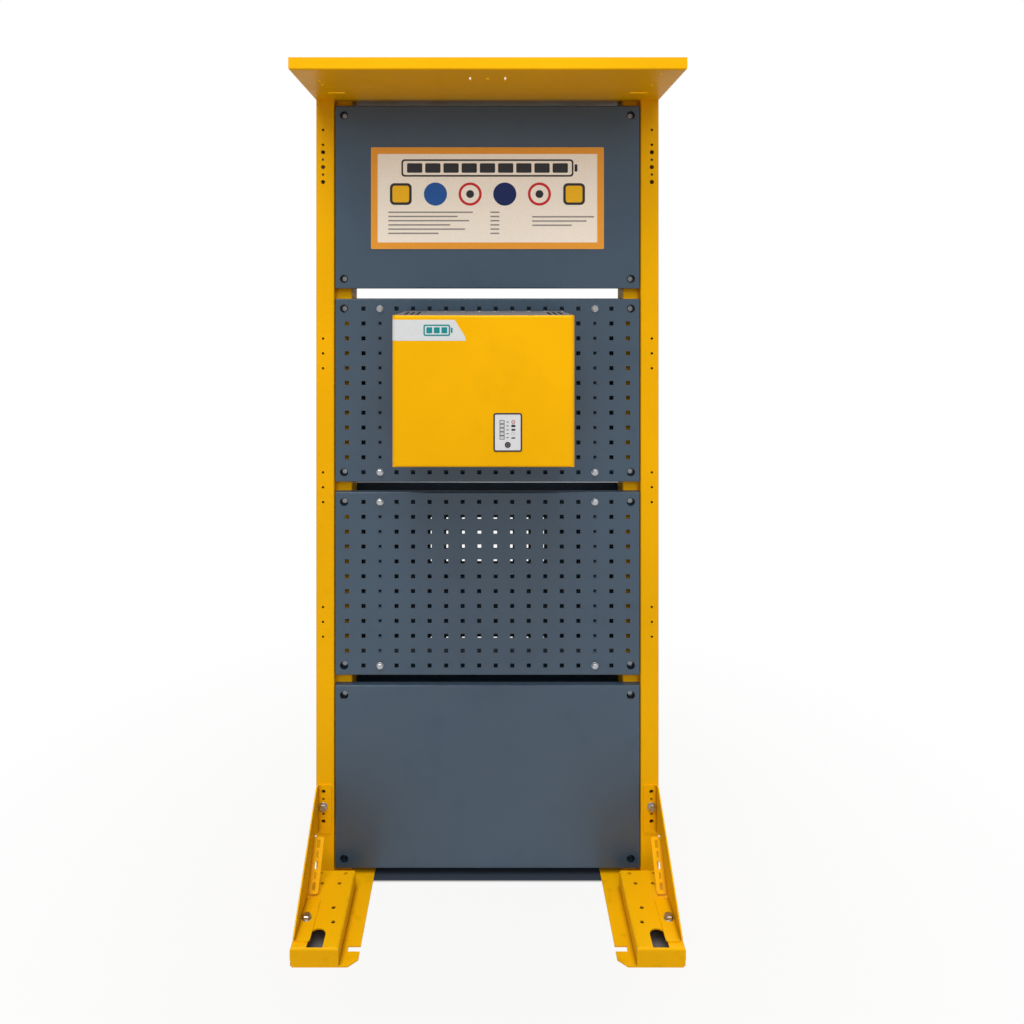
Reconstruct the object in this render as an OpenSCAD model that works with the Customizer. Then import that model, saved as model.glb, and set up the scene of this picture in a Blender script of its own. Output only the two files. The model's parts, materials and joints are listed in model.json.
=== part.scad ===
// Battery charging station: a free-standing sheet-metal rack that carries a wall charger.
// Millimetres, +Z up. The front faces -Y and the origin is on the floor in the middle of the rack.

/* [Rack] */
// Width over the outer faces of the two uprights
frame_w = 830; // [740:1:920]
// Depth of an upright, front to rear
upright_d = 121; // [112:1:140]
// Width of the outer box of an upright, seen beside the panels
strip_w = 44; // [42:1:52]
// Width of the recessed rail that the panels are bolted to
rail_w = 40; // [38:1:50]
// Sheet of the uprights
upright_sheet = 2.5; // [1.5:0.1:3.5]
// Outer bend radius of the uprights
upright_bend = 4; // [4:0.5:6]
// Small holes in the strip of an upright, across
strip_hole_d = 6; // [4:0.5:8]
// Large holes in the strip of an upright, across
strip_big_d = 10; // [8:0.5:12]
// Distance of the strip holes from the outer face
strip_hole_inset = 17; // [15:0.5:20]

/* [Panels] */
// Height of a panel
panel_h = 443; // [410:1:480]
// Depth of a panel, which is also the recess of the rail
panel_d = 20; // [18:1:24]
// Sheet of the panels
panel_sheet = 1.5; // [1:0.1:2]
// Outer bend radius at the four edges of a panel
panel_bend = 3; // [2.5:0.1:4]
// Gap between two panels, one above the other
panel_gap = 25; // [15:1:40]
// Clearance between the edge of a panel and the upright
panel_side_gap = 2; // [1:0.5:4]
// Height of the lowest panel above the floor
panel_base = 18; // [12:1:30]
// Distance from the edge of a panel to its corner bolts
corner_inset = 22; // [20:0.5:24]
// Hole in the face through which a corner bolt is tightened, across
access_d = 20; // [18:0.5:22]
// Perforation, distance from column to column
pitch_x = 40; // [36:1:46]
// Perforation, distance from row to row
pitch_z = 36; // [34:1:40]
// Perforation, side of a square hole
perf = 10; // [8:0.5:12]
// Width of the stiffener rail behind a perforated panel
stiff_w = 30; // [26:1:34]
// Thickness of the stiffener rail
stiff_t = 3; // [2:0.5:4]

/* [Canopy and sign] */
// Reach of the canopy in front of the uprights
canopy_reach = 270; // [200:1:300]
// Height of the canopy's upturned lips
canopy_lip = 26; // [18:1:40]
// How far the canopy stands out at each side of the uprights
canopy_side = 3; // [1:0.5:8]
// Sheet of the canopy
canopy_sheet = 2; // [1.5:0.1:2.5]
// Open slit between the top panel and the canopy
canopy_slit = 15; // [8:1:30]
// Width of the sign board
sign_w = 563; // [400:1:600]
// Height of the sign board
sign_h = 246; // [160:1:300]
// Thickness of the sign board
sign_t = 2; // [1:0.5:4]

/* [Feet] */
// Reach of a foot in front of the upright, and behind it
foot_reach = 270; // [262:1:330]
// Width of the raised channel of a foot
foot_w = 102; // [98:1:110]
// Height of the raised channel
foot_h = 40; // [34:1:50]
// Sheet of the foot
foot_sheet = 3; // [2.5:0.1:4]
// Width of the flange on the floor, inside the channel
flange_w = 39; // [34:1:48]
// Gap between the upright and the raised channel
foot_gap = 38; // [30:1:44]
// Access slot at the end of the channel, across
slot_w = 34; // [28:1:38]
// Access slot, length
slot_l = 52; // [44:1:56]

/* [Gussets] */
// Height of the top of a gusset above the floor
gusset_top = 222; // [205:1:245]
// Reach of a gusset in front of the upright
gusset_reach = 255; // [240:1:258]
// Sheet of the gusset
gusset_sheet = 3; // [2.5:0.1:4]
// Width of the two bolted flanges
gusset_flange = 35; // [32:1:38]
// Width of the slotted inner flange
web_w = 27; // [22:1:30]

/* [Charger] */
// Width of the charger
charger_w = 384; // [370:1:410]
// Height of the charger's front
charger_h = 319; // [306:1:330]
// Depth of the charger, from the panel to its front
charger_d = 265; // [255:1:290]
// Height of the charger above the lower edge of its panel
charger_lift = 92; // [84:1:100]
// Sideways place of the charger's middle
charger_x = -9; // [-20:1:10]
// Sheet of the charger's cover and chassis
charger_sheet = 1.5; // [1.2:0.1:2]
// Bend radius at the upright edges of the cover
cover_bend = 10; // [6:0.5:14]
// How far the cover reaches back at the sides
cover_side = 205; // [160:1:215]
// Rise of the chassis top towards the panel
chassis_rise = 5; // [2:0.5:8]
// Thickness of the bars that carry the charger
bracket_t = 8; // [7:0.5:12]
// Width of the display
display_w = 59; // [54:0.5:64]
// Height of the display
display_h = 80; // [76:0.5:86]
// Push button, across
button_d = 11.8; // [10:0.1:13]
// Travel of the push button
button_travel = 1.2; // [0.8:0.1:1.5]
// Clearance round the push button
button_gap = 0.3; // [0.3:0.05:0.5]
// Side of the square fan
fan_w = 92; // [80:1:100]
// Clearance between the fan blades and the fan frame
fan_gap = 1.5; // [1:0.1:3]
// Bore of the mains gland, across
mains_bore = 13; // [10:0.5:15]
// Bore of the two battery lead glands, across
lead_bore = 18; // [14:0.5:20]

/* [Hidden] */
$fn = 48;
eps = 0.02;
// Rack
front_y = -upright_d / 2;
half_w = frame_w / 2;
upright_w = strip_w + rail_w;
panel_w = frame_w - 2 * strip_w - 2 * panel_side_gap;
level = panel_h + panel_gap;
canopy_z = panel_base + 4 * panel_h + 3 * panel_gap + canopy_slit;
canopy_w = frame_w + 2 * canopy_side;
canopy_d = upright_d + canopy_reach;
canopy_bend = 4;
strip_x = half_w - strip_hole_inset;
end_plate = 4;
// Perforation
cols = floor((panel_w - 48) / pitch_x) + 1;
rows = floor((panel_h - 40) / pitch_z) + 1;
grid_x = (cols - 1) / 2 * pitch_x;
grid_z = (rows - 1) / 2 * pitch_z;
rear_pitch_z = pitch_z - 2;
rear_first = 14.5 - grid_z;
stiff_x = grid_x - 2 * pitch_x;
corner_x = panel_w / 2 - corner_inset;
tab = 40;
// Bolts M8
m8 = 8;
m8_hole = 8.6;
m8_head = 5.3;
m8_flats = 13;
washer_d = 17;
washer_t = 1.6;
// Feet and gussets
foot_front = front_y - foot_reach;
foot_in = half_w - foot_w;
gusset_x = half_w - 3;
gusset_bolt_x = gusset_x - gusset_flange / 2 + 2;
gusset_bolt_z = gusset_top - 52;
gusset_bolt_q = gusset_reach - 65;
gusset_holes = [[16, strip_big_d], [34, strip_hole_d], [70, strip_hole_d], [88, strip_big_d]];
web_top = [front_y - 48, gusset_top - 95];
web_end = [front_y - 122, foot_h + 5];
// Charger
ch_x = charger_x;
ch_z = panel_base + level * 2 + charger_lift;
ch_front = front_y - charger_d;
ch_back = front_y - bracket_t;
ch_w = charger_w - 2 * charger_sheet - 1;
ch_lip = 8;
ch_top = charger_h - charger_sheet - 0.5;
in_y = ch_back - charger_sheet;
in_z = ch_z + 2 * charger_sheet + 0.5;
bar_x = floor(140 / pitch_x) * pitch_x + pitch_x / 2 * ((cols + 1) % 2);
row_low = panel_base + level * 2 + panel_h / 2 - grid_z + 3 * pitch_z;
row_high = row_low + 7 * pitch_z;
// Display and button
disp_x = ch_x + 51;
disp_z = ch_z + 73.6;
bezel = 2.5;
face_t = 3;
button_z = disp_z - 26;
switch_gap = button_travel + 0.4;
board_y = ch_front + face_t + 12;
// Inner parts
pcb = 1.6;
power_y = in_y - 50;
fan_x = ch_x - 90;
fan_y = in_y - 145;
fan_h = 25;
fan_r = fan_w / 2 - 4;
gland_y = in_y - 80;
mains_x = ch_x + 62;
lead_x = [ch_x + 108, ch_x + 156];

// Shared shapes

// A box from one corner to the opposite one
module block(a, b) {
    translate(a)
        cube(b - a);
}

// A flat outline with round corners, centred
module round_rect(w, h, r) {
    square([w - 2 * r, h], center = true);
    square([w, h - 2 * r], center = true);
    for (x = [-1, 1], y = [-1, 1])
        translate([x * (w / 2 - r), y * (h / 2 - r)])
            circle(r);
}

// A flat slot along Y with round ends
module slot_2d(w, l) {
    square([w, l - w], center = true);
    for (y = [-1, 1])
        translate([0, y * (l - w) / 2])
            circle(d = w);
}

// An outline seen from above with the two front corners rounded
module fold_2d(w, d, r) {
    translate([-w / 2, r])
        square([w, d - r]);
    translate([-w / 2 + r, 0])
        square([w - 2 * r, r + eps]);
    for (x = [-1, 1])
        translate([x * (w / 2 - r), r])
            circle(r);
}

// A block whose front edges are all rounded. Its front is at y = 0
module fold_block(w, h, d, rx, rz) {
    intersection() {
        translate([0, 0, -h / 2])
            linear_extrude(h)
                fold_2d(w, d, rx);
        rotate([0, 90, 0])
            translate([0, 0, -w / 2])
                linear_extrude(w)
                    fold_2d(h, d, rz);
    }
}

// A folded tray of sheet, open at the back
module tray(w, h, d, t, rx, rz) {
    difference() {
        fold_block(w, h, d, rx, rz);
        translate([0, t, 0])
            fold_block(w - 2 * t, h - 2 * t, d + 1, rx - t, rz - t);
    }
}

// A hole or pin along Y, from y0 to y1
module bar_y(x, z, d, y0, y1) {
    translate([x, y1, z])
        rotate([90, 0, 0])
            cylinder(d = d, h = y1 - y0);
}

// A hexagon bolt with washer. It sits at z = 0, the head up
module bolt(len) {
    cylinder(d = washer_d, h = washer_t);
    translate([0, 0, washer_t])
        cylinder(d = m8_flats / cos(30), h = m8_head, $fn = 6);
    translate([0, 0, -len])
        cylinder(d = m8, h = len + eps);
}

// The same bolt on a front face
module bolt_y(x, y, z, len) {
    translate([x, y, z])
        rotate([90, 0, 0])
            bolt(len);
}

// Repeats at the left and at the right
module both_sides() {
    children();
    mirror([1, 0, 0])
        children();
}

// Repeats at the front and at the rear
module both_faces() {
    children();
    mirror([0, 1, 0])
        children();
}

// Uprights

// Section of an upright, from its outer face at x = 0 inwards
module upright_2d(t, r) {
    translate([strip_w / 2, 0])
        round_rect(strip_w - 2 * t, upright_d - 2 * t, r);
    translate([upright_w / 2 + upright_bend, 0])
        round_rect(upright_w - 2 * upright_bend - 2 * t, upright_d - 2 * panel_d - 2 * t, r);
    translate([upright_w / 2, 0])
        square([upright_w / 2, upright_d - 2 * panel_d - 2 * t - 2 * r], center = true);
}

// Heights of the holes in the strip
function strip_small() = concat(
    [for (c = [1265, 941, 615], k = [-1, 0, 1]) c / 1880 * canopy_z + k * pitch_z],
    [for (k = [0:3]) canopy_z - 182 + k * pitch_z]);
function strip_big() = [for (k = [0:2]) canopy_z - 200 + k * pitch_z];

module upright() {
    z0 = foot_sheet;
    difference() {
        translate([-half_w, 0, z0])
            union() {
                difference() {
                    linear_extrude(canopy_z - z0)
                        upright_2d(0, upright_bend);
                    translate([0, 0, end_plate])
                        linear_extrude(canopy_z - z0 - 2 * end_plate)
                            upright_2d(upright_sheet, upright_bend - upright_sheet);
                }
            }
        for (z = strip_small())
            bar_y(-strip_x, z, strip_hole_d, -upright_d, upright_d);
        for (z = strip_big())
            bar_y(-strip_x, z, strip_big_d, -upright_d, upright_d);
        for (i = [0:3], k = [-1, 1])
            bar_y(-corner_x, panel_mid(i) + k * grid_z, m8_hole, -upright_d, upright_d);
        bar_y(-gusset_bolt_x, gusset_bolt_z, m8_hole, -upright_d, upright_d);
        for (h = gusset_holes)
            bar_y(-gusset_bolt_x, gusset_top - h[0], h[1], -upright_d, upright_d);
        for (y = [-1, 1])
            translate([-half_w + strip_w / 2, y * upright_d / 4, canopy_z - 20])
                cylinder(d = m8_hole, h = 40);
    }
}

module upright_left() {
    color("gold")
        upright();
}

module upright_right() {
    color("gold")
        mirror([1, 0, 0])
            upright();
}

// Panels

// Height of the middle of a panel, counted from the floor
function panel_mid(i) = panel_base + i * level + panel_h / 2;

// Whether a place of the grid is left to an access hole
function at_corner(i, k) = (i == 0 || i == cols - 1) && (k == 0 || k == rows - 1);

// The square holes of the perforation, a number of rows upwards from the first
module grid_2d(count, pitch, first) {
    for (i = [0:cols - 1], k = [0:count - 1])
        if (!at_corner(i, k))
            translate([i * pitch_x - grid_x, k * pitch + first])
                square(perf, center = true);
}

// A panel with its front at the front of the rack. It has a lip behind its lower edge, tabs behind
// its upper corners, and a number of rows of square holes
module panel(i, count, pitch = pitch_z, first = -grid_z) {
    translate([0, front_y, panel_mid(i)])
        difference() {
            union() {
                tray(panel_w, panel_h, panel_d, panel_sheet, panel_bend, panel_bend);
                translate([0, panel_d - panel_sheet / 2, -(panel_h - tab) / 2])
                    cube([panel_w - 0.4, panel_sheet, tab - 0.4], center = true);
                for (x = [-1, 1])
                    translate([x * (panel_w - tab) / 2, panel_d - panel_sheet / 2, (panel_h - tab) / 2])
                        cube([tab - 0.4, panel_sheet, tab - 0.4], center = true);
            }
            for (x = [-1, 1], z = [-1, 1]) {
                bar_y(x * corner_x, z * grid_z, access_d, -1, panel_d / 2);
                bar_y(x * corner_x, z * grid_z, m8_hole, 0, panel_d + 1);
            }
            if (count > 0)
                translate([0, panel_sheet + 0.5, 0])
                    rotate([90, 0, 0])
                        linear_extrude(panel_sheet + 1)
                            grid_2d(count, pitch, first);
        }
}

module header_panel() {
    color("slategray")
        panel(3, 0);
}

module charger_panel() {
    color("slategray")
        panel(2, rows);
}

module perforated_panel() {
    color("slategray")
        panel(1, rows);
}

module lower_panel() {
    color("slategray")
        panel(0, 0);
}

module rear_header_panel() {
    color("slategray")
        mirror([0, 1, 0])
            panel(3, 0);
}

module rear_upper_panel() {
    color("slategray")
        mirror([0, 1, 0])
            panel(2, 0);
}

module rear_perforated_panel() {
    color("slategray")
        mirror([0, 1, 0])
            panel(1, rows - 1, rear_pitch_z, rear_first);
}

module rear_lower_panel() {
    color("slategray")
        mirror([0, 1, 0])
            panel(0, 0);
}

// Bolts in the corners of the panels, reached through the access holes
module corner_bolts() {
    for (i = [0:3], x = [-1, 1], z = [-1, 1])
        bolt_y(x * corner_x, front_y + panel_d - panel_sheet, panel_mid(i) + z * grid_z, 14);
}

module front_panel_bolts() {
    color("silver")
        corner_bolts();
}

module rear_panel_bolts() {
    color("silver")
        mirror([0, 1, 0])
            corner_bolts();
}

// A stiffener rail behind a perforated panel, with one round hole for each row
module stiffener(i, side) {
    h = panel_h - 4 * panel_sheet;
    translate([side * stiff_x, front_y + panel_sheet, panel_mid(i)])
        difference() {
            translate([-stiff_w / 2, 0, -h / 2])
                cube([stiff_w, stiff_t, h]);
            for (k = [0:rows - 1])
                bar_y(0, k * pitch_z - grid_z, k == 0 || k == rows - 1 ? m8_hole : 7, -1, stiff_t + 1);
        }
}

module stiffener_upper_left() {
    color("dimgray")
        stiffener(2, -1);
}

module stiffener_upper_right() {
    color("dimgray")
        stiffener(2, 1);
}

module stiffener_middle_left() {
    color("dimgray")
        stiffener(1, -1);
}

module stiffener_middle_right() {
    color("dimgray")
        stiffener(1, 1);
}

// Bolts that hold the stiffener rails, each with its nut
module stiffener_bolts() {
    color("silver")
        for (i = [1, 2], x = [-1, 1], z = [-1, 1]) {
            bolt_y(x * stiff_x, front_y, panel_mid(i) + z * grid_z, panel_sheet + stiff_t + 8);
            translate([x * stiff_x, front_y + panel_sheet + stiff_t + 6.5, panel_mid(i) + z * grid_z])
                rotate([90, 0, 0])
                    cylinder(d = m8_flats / cos(30), h = 6.5, $fn = 6);
        }
}

// Canopy and sign

// Places in the canopy, as the distance in front of the uprights
module canopy_cuts_2d() {
    both_sides() {
        for (q = [0.875, 0.655, 0.52])
            translate([half_w - 44, front_y - q * canopy_reach])
                circle(d = 6);
        translate([half_w - 61, front_y - 0.245 * canopy_reach])
            rotate(90)
                slot_2d(6, 42);
    }
    translate([0, front_y - 0.72 * canopy_reach]) {
        circle(d = 8);
        for (a = [0, 180])
            rotate(a)
                intersection() {
                    difference() {
                        circle(41);
                        circle(37);
                    }
                    translate([30, -13])
                        square([20, 26]);
                }
    }
}

// The plate of the canopy with the bends at its edges
module canopy() {
    color("goldenrod")
        difference() {
            intersection() {
                translate([0, -front_y - canopy_d / 2, canopy_z])
                    rotate([90, 0, 0])
                        tray(canopy_w, canopy_d, canopy_lip, canopy_sheet, canopy_bend, canopy_bend);
                translate([0, 0, canopy_z])
                    cube([2 * canopy_w, 4 * canopy_d, 2 * canopy_bend], center = true);
            }
            translate([0, 0, canopy_z - 1])
                linear_extrude(canopy_sheet + 2)
                    canopy_cuts_2d();
            for (x = [-1, 1], y = [-1, 1])
                translate([x * (half_w - strip_w / 2), y * upright_d / 4, canopy_z - 1])
                    cylinder(d = m8_hole, h = canopy_sheet + 2);
        }
}

// The four lips above the bends, open at the corners
module canopy_lips() {
    z0 = canopy_z + canopy_bend;
    z1 = canopy_z + canopy_lip;
    color("goldenrod") {
        for (y = [-front_y - canopy_d, -front_y - canopy_sheet])
            block([-canopy_w / 2, y, z0], [canopy_w / 2, y + canopy_sheet, z1]);
        for (x = [-canopy_w / 2, canopy_w / 2 - canopy_sheet])
            block([x, canopy_sheet + 0.3 - front_y - canopy_d, z0],
                [x + canopy_sheet, -front_y - canopy_sheet - 0.3, z1]);
    }
}

// Bolts that hold the canopy on the top plates of the uprights
module canopy_bolts() {
    color("silver")
        for (x = [-1, 1], y = [-1, 1])
            translate([x * (half_w - strip_w / 2), y * upright_d / 4, canopy_z + canopy_sheet])
                bolt(canopy_sheet + end_plate + 6);
}

module sign_board() {
    color("wheat")
        translate([0, front_y, panel_mid(3) - 3])
            rotate([90, 0, 0])
                linear_extrude(sign_t)
                    round_rect(sign_w, sign_h, 3);
}

// Feet

// Section of the raised channel, from its inner edge outwards
module channel_2d(w, h, r) {
    square([w, h - r]);
    translate([r, 0])
        square([w - 2 * r, h]);
    for (x = [r, w - r])
        translate([x, h - r])
            circle(r);
}

// The raised channel and the floor flange in front of an upright
module foot_front_half() {
    y0 = foot_front;
    len = foot_reach - foot_gap;
    t = foot_sheet;
    difference() {
        union() {
            translate([foot_in, y0 + len, 0])
                rotate([90, 0, 0])
                    linear_extrude(len)
                        channel_2d(foot_w, foot_h, 5);
            block([foot_in - flange_w, y0, 0], [foot_in + t, 0, t]);
            block([foot_in, y0 + len - eps, 0], [half_w, 0, t]);
        }
        // Hollow of the channel
        translate([foot_in + t, y0 + len + 1, -1])
            rotate([90, 0, 0])
                linear_extrude(len + 1 - t)
                    channel_2d(foot_w - 2 * t, foot_h + 1 - t, 2);
        // Bend between the top and the front lip
        difference() {
            block([foot_in - 1, y0 - 1, foot_h - 5], [half_w + 1, y0 + 5, foot_h + 1]);
            translate([foot_in - 2, y0 + 5, foot_h - 5])
                rotate([0, 90, 0])
                    cylinder(r = 5, h = foot_w + 4);
        }
        // Access slot behind the front lip
        translate([foot_in + foot_w / 2, y0 + t, foot_h / 2]) {
            translate([-slot_w / 2, 0, 0])
                cube([slot_w, slot_l - slot_w / 2, foot_h]);
            translate([0, slot_l - slot_w / 2, 0])
                cylinder(d = slot_w, h = foot_h);
        }
        // Round holes in the top
        for (p = [[48, -29], [48, 29], [80, -20], [80, 20], [155, -20], [155, 20], [197, -27]])
            translate([foot_in + foot_w / 2 + p[1], front_y - p[0], foot_h / 2])
                cylinder(d = 9, h = foot_h);
        // Hole of the gusset bolt
        translate([gusset_bolt_x, front_y - gusset_bolt_q, foot_h / 2])
            cylinder(d = m8_hole, h = foot_h);
        // Open notch in the floor flange
        translate([foot_in - flange_w - 1, front_y - foot_reach * 0.83 - 7.5, -1])
            cube([27, 15, t + 2]);
        // Chamfers of the flange and of the lip
        translate([foot_in - flange_w, y0, -1])
            linear_extrude(t + 2)
                polygon([[-1, -1], [20, -1], [20, 0], [0, 18], [-1, 18]]);
        translate([half_w, y0 + t + 1, 0])
            rotate([90, 0, 0])
                linear_extrude(t + 2)
                    polygon([[1, -1], [1, 17], [0, 17], [-4, 0], [-4, -1]]);
    }
}

// The hollow under an upright is closed by a plain plate, so the foot is one sheet from end to end
module foot() {
    both_faces()
        foot_front_half();
}

module foot_left() {
    color("gold")
        mirror([1, 0, 0])
            foot();
}

module foot_right() {
    color("gold")
        foot();
}

// Gussets

// A flange outline with two round corners on its free edge, centred along Y
module flange_2d(w, l, r) {
    translate([r, -l / 2])
        square([w - r, l]);
    translate([0, -l / 2 + r])
        square([w, l - 2 * r]);
    for (y = [-1, 1])
        translate([r, y * (l / 2 - r)])
            circle(r);
}

// The gusset in front of the right upright
module gusset() {
    t = gusset_sheet;
    in = gusset_x - gusset_flange;
    up0 = gusset_top - 117;
    slope = [-(gusset_reach - 18), 52 - gusset_top];
    run = norm(slope);
    web = web_end - web_top;
    difference() {
        union() {
            // Upright sheet
            translate([gusset_x - t, 0, 0])
                rotate([90, 0, 90])
                    linear_extrude(t)
                        polygon([[front_y, up0], [front_y, gusset_top], [front_y - 18, gusset_top],
                            [front_y - gusset_reach, 52], [front_y - gusset_reach, foot_h],
                            [web_end[0], foot_h], web_end, web_top]);
            // Flange on the upright
            translate([in, front_y, gusset_top - 117 / 2])
                rotate([90, 0, 0])
                    linear_extrude(t)
                        flange_2d(gusset_flange, 117, 6);
            // Flange on the foot
            translate([in, front_y - gusset_reach + 62.5, foot_h])
                linear_extrude(t)
                    flange_2d(gusset_flange, 125, 8);
            // Slotted inner flange
            translate([gusset_x - web_w, web_top[0], web_top[1]])
                rotate([atan2(web[1], web[0]), 0, 0])
                    translate([0, norm(web) / 2, -t / 2])
                        linear_extrude(t)
                            difference() {
                                flange_2d(web_w, norm(web), 5);
                                for (k = [-2:2])
                                    translate([web_w / 2 - 2, k * norm(web) / 5.4])
                                        slot_2d(k % 2 == 0 ? 7 : 4.5, k % 2 == 0 ? 16 : 13);
                            }
        }
        // Holes of the flange on the upright
        for (h = gusset_holes)
            bar_y(gusset_bolt_x, gusset_top - h[0], h[1], front_y - t - 1, front_y + 1);
        bar_y(gusset_bolt_x, gusset_bolt_z, m8_hole, front_y - t - 1, front_y + 1);
        translate([gusset_bolt_x, front_y - gusset_bolt_q, foot_h - 1])
            cylinder(d = m8_hole, h = t + 2);
        // Row of slots along the sloping edge
        for (k = [0:8])
            translate([gusset_x - t - 1, front_y - 18 + slope[0] * (0.1 + k * 0.095),
                    gusset_top - 14 + slope[1] * (0.1 + k * 0.095)])
                rotate([90, 0, 90])
                    linear_extrude(t + 2)
                        rotate(atan2(slope[1], slope[0]) + 90)
                            slot_2d(4, run * 0.055);
    }
}

module gusset_front_left() {
    color("gold")
        mirror([1, 0, 0])
            gusset();
}

module gusset_front_right() {
    color("gold")
        gusset();
}

module gusset_rear_left() {
    color("gold")
        mirror([0, 1, 0])
            mirror([1, 0, 0])
                gusset();
}

module gusset_rear_right() {
    color("gold")
        mirror([0, 1, 0])
            gusset();
}

module gusset_bolts() {
    color("silver")
        both_faces()
            both_sides() {
                bolt_y(gusset_bolt_x, front_y - gusset_sheet, gusset_bolt_z, gusset_sheet + 14);
                translate([gusset_bolt_x, front_y - gusset_bolt_q, foot_h + gusset_sheet])
                    bolt(gusset_sheet + foot_sheet + 12);
            }
}

// Charger

// The two bars that hold the charger on its panel, with sunk bolt heads
module charger_bars() {
    color("silver")
        difference() {
            for (x = [-1, 1])
                block([x * bar_x - 15, ch_back, row_low - 20], [x * bar_x + 15, front_y, row_high + 18]);
            for (x = [-1, 1], z = [row_low, row_high]) {
                bar_y(x * bar_x, z, m8_hole, ch_back - 1, front_y + 1);
                bar_y(x * bar_x, z, 16, ch_back - 1, front_y - bracket_t + 5.5);
            }
        }
}

module charger_bolts() {
    color("silver")
        for (x = [-1, 1], z = [row_low, row_high]) {
            bar_y(x * bar_x, z, 14, front_y - bracket_t + 0.7, front_y - bracket_t + 5.5);
            bar_y(x * bar_x, z, m8, front_y - bracket_t + 5, front_y + panel_sheet + 10);
            bar_y(x * bar_x, z, washer_d, front_y + panel_sheet, front_y + panel_sheet + washer_t);
            translate([x * bar_x, front_y + panel_sheet + washer_t + 6.5, z])
                rotate([90, 0, 0])
                    cylinder(d = m8_flats / cos(30), h = 6.5, $fn = 6);
        }
}

// Side view of the chassis, with the top rising to the rear
module chassis_2d(t) {
    y0 = ch_front + charger_sheet + 2;
    z0 = charger_sheet + 0.5 + t;
    polygon([[t > 0 ? y0 - 1 : y0, z0], [ch_back - t, z0],
        [ch_back - t, ch_top + chassis_rise - t], [y0 + 2 * ch_lip, ch_top - t],
        [t > 0 ? y0 - 1 : y0, ch_top - t]]);
}

module charger_chassis() {
    t = charger_sheet;
    color("gray")
        difference() {
            translate([ch_x - ch_w / 2, 0, ch_z])
                rotate([90, 0, 90])
                    linear_extrude(ch_w)
                        chassis_2d(0);
            translate([ch_x - ch_w / 2 + t, 0, ch_z])
                rotate([90, 0, 90])
                    linear_extrude(ch_w - 2 * t)
                        chassis_2d(t);
            // Vent slots in the top
            for (x = [-1, 1], k = [0:2])
                translate([ch_x + x * (ch_w / 2 - 16 - 13 * k), in_y - 105, ch_z + ch_top - 10])
                    linear_extrude(30)
                        slot_2d(6, 130);
            // Fan opening and gland holes in the floor
            translate([fan_x, fan_y, ch_z - 5])
                cylinder(r = fan_r, h = 15);
            translate([mains_x, gland_y, ch_z - 5])
                cylinder(d = 25.2, h = 15);
            for (x = lead_x)
                translate([x, gland_y, ch_z - 5])
                    cylinder(d = 32.2, h = 15);
            // Front corners cut back behind the bends of the cover
            for (x = [-1, 1])
                translate([ch_x + x * ch_w / 2, ch_front + cover_bend / 2, ch_z + charger_h / 2])
                    cube([12, cover_bend + 2, charger_h + 40], center = true);
            // Threads of the cover screws
            for (y = [ch_front + 60, ch_front + 180])
                translate([ch_x - charger_w, y, ch_z + 0.51 * charger_h])
                    rotate([0, 90, 0])
                        cylinder(d = 5, h = 2 * charger_w);
        }
}

module charger_cover() {
    t = charger_sheet;
    color("gold")
        difference() {
            translate([ch_x, ch_front, ch_z + charger_h / 2])
                tray(charger_w, charger_h, cover_side, t, cover_bend, 4);
            // The top and the bottom keep only a short lip
            block([ch_x - charger_w / 2 + t, ch_front + ch_lip, ch_z - 1],
                [ch_x + charger_w / 2 - t, ch_front + cover_side + 1, ch_z + charger_h + 1]);
            // Opening of the display
            translate([disp_x, ch_front + t + 1, disp_z])
                rotate([90, 0, 0])
                    linear_extrude(t + 2)
                        round_rect(display_w, display_h, 3);
            for (y = [ch_front + 60, ch_front + 180])
                translate([ch_x - charger_w, y, ch_z + 0.51 * charger_h])
                    rotate([0, 90, 0])
                        cylinder(d = 5.2, h = 2 * charger_w);
        }
}

module cover_screws() {
    color("silver")
        for (m = [-1, 1], y = [ch_front + 60, ch_front + 180])
            translate([ch_x + m * charger_w / 2, y, ch_z + 0.51 * charger_h])
                rotate([0, m * 90, 0]) {
                    cylinder(d1 = 9.5, d2 = 7, h = 2.6);
                    translate([0, 0, -9])
                        cylinder(d = 5, h = 9 + eps);
                }
}

// Display

module display_bezel() {
    t = charger_sheet;
    color("black")
        translate([disp_x, ch_front, disp_z])
            rotate([90, 0, 0])
                difference() {
                    union() {
                        translate([0, 0, -t - 2])
                            linear_extrude(t + 3.2)
                                round_rect(display_w - 0.2, display_h - 0.2, 2.9);
                        translate([0, 0, -t - 2])
                            linear_extrude(2)
                                round_rect(display_w + 6, display_h + 6, 4);
                    }
                    translate([0, 0, -t - 3])
                        linear_extrude(t + 6)
                            round_rect(display_w - 2 * bezel, display_h - 2 * bezel, 1.6);
                }
}

// The light face in the bezel, with pillars for the board behind it
module display_face() {
    w = display_w - 2 * bezel;
    h = display_h - 2 * bezel;
    color("gainsboro")
        translate([disp_x, ch_front, disp_z])
            rotate([90, 0, 0])
                difference() {
                    union() {
                        translate([0, 0, -face_t + 0.6])
                            linear_extrude(face_t)
                                round_rect(w - 0.1, h - 0.1, 1.5);
                        for (x = [-1, 1], y = [-1, 1])
                            translate([x * (w / 2 - 5), y * (h / 2 - 4), -face_t - 12])
                                cylinder(d = 5, h = 13);
                    }
                    for (k = [-2:2])
                        translate([-12, 5.5 + k * 8.2, -face_t])
                            linear_extrude(face_t + 2)
                                square([8.6, 6.6], center = true);
                    translate([0, button_z - disp_z, -face_t])
                        cylinder(d = button_d + 2 * button_gap, h = face_t + 2);
                }
}

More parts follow.
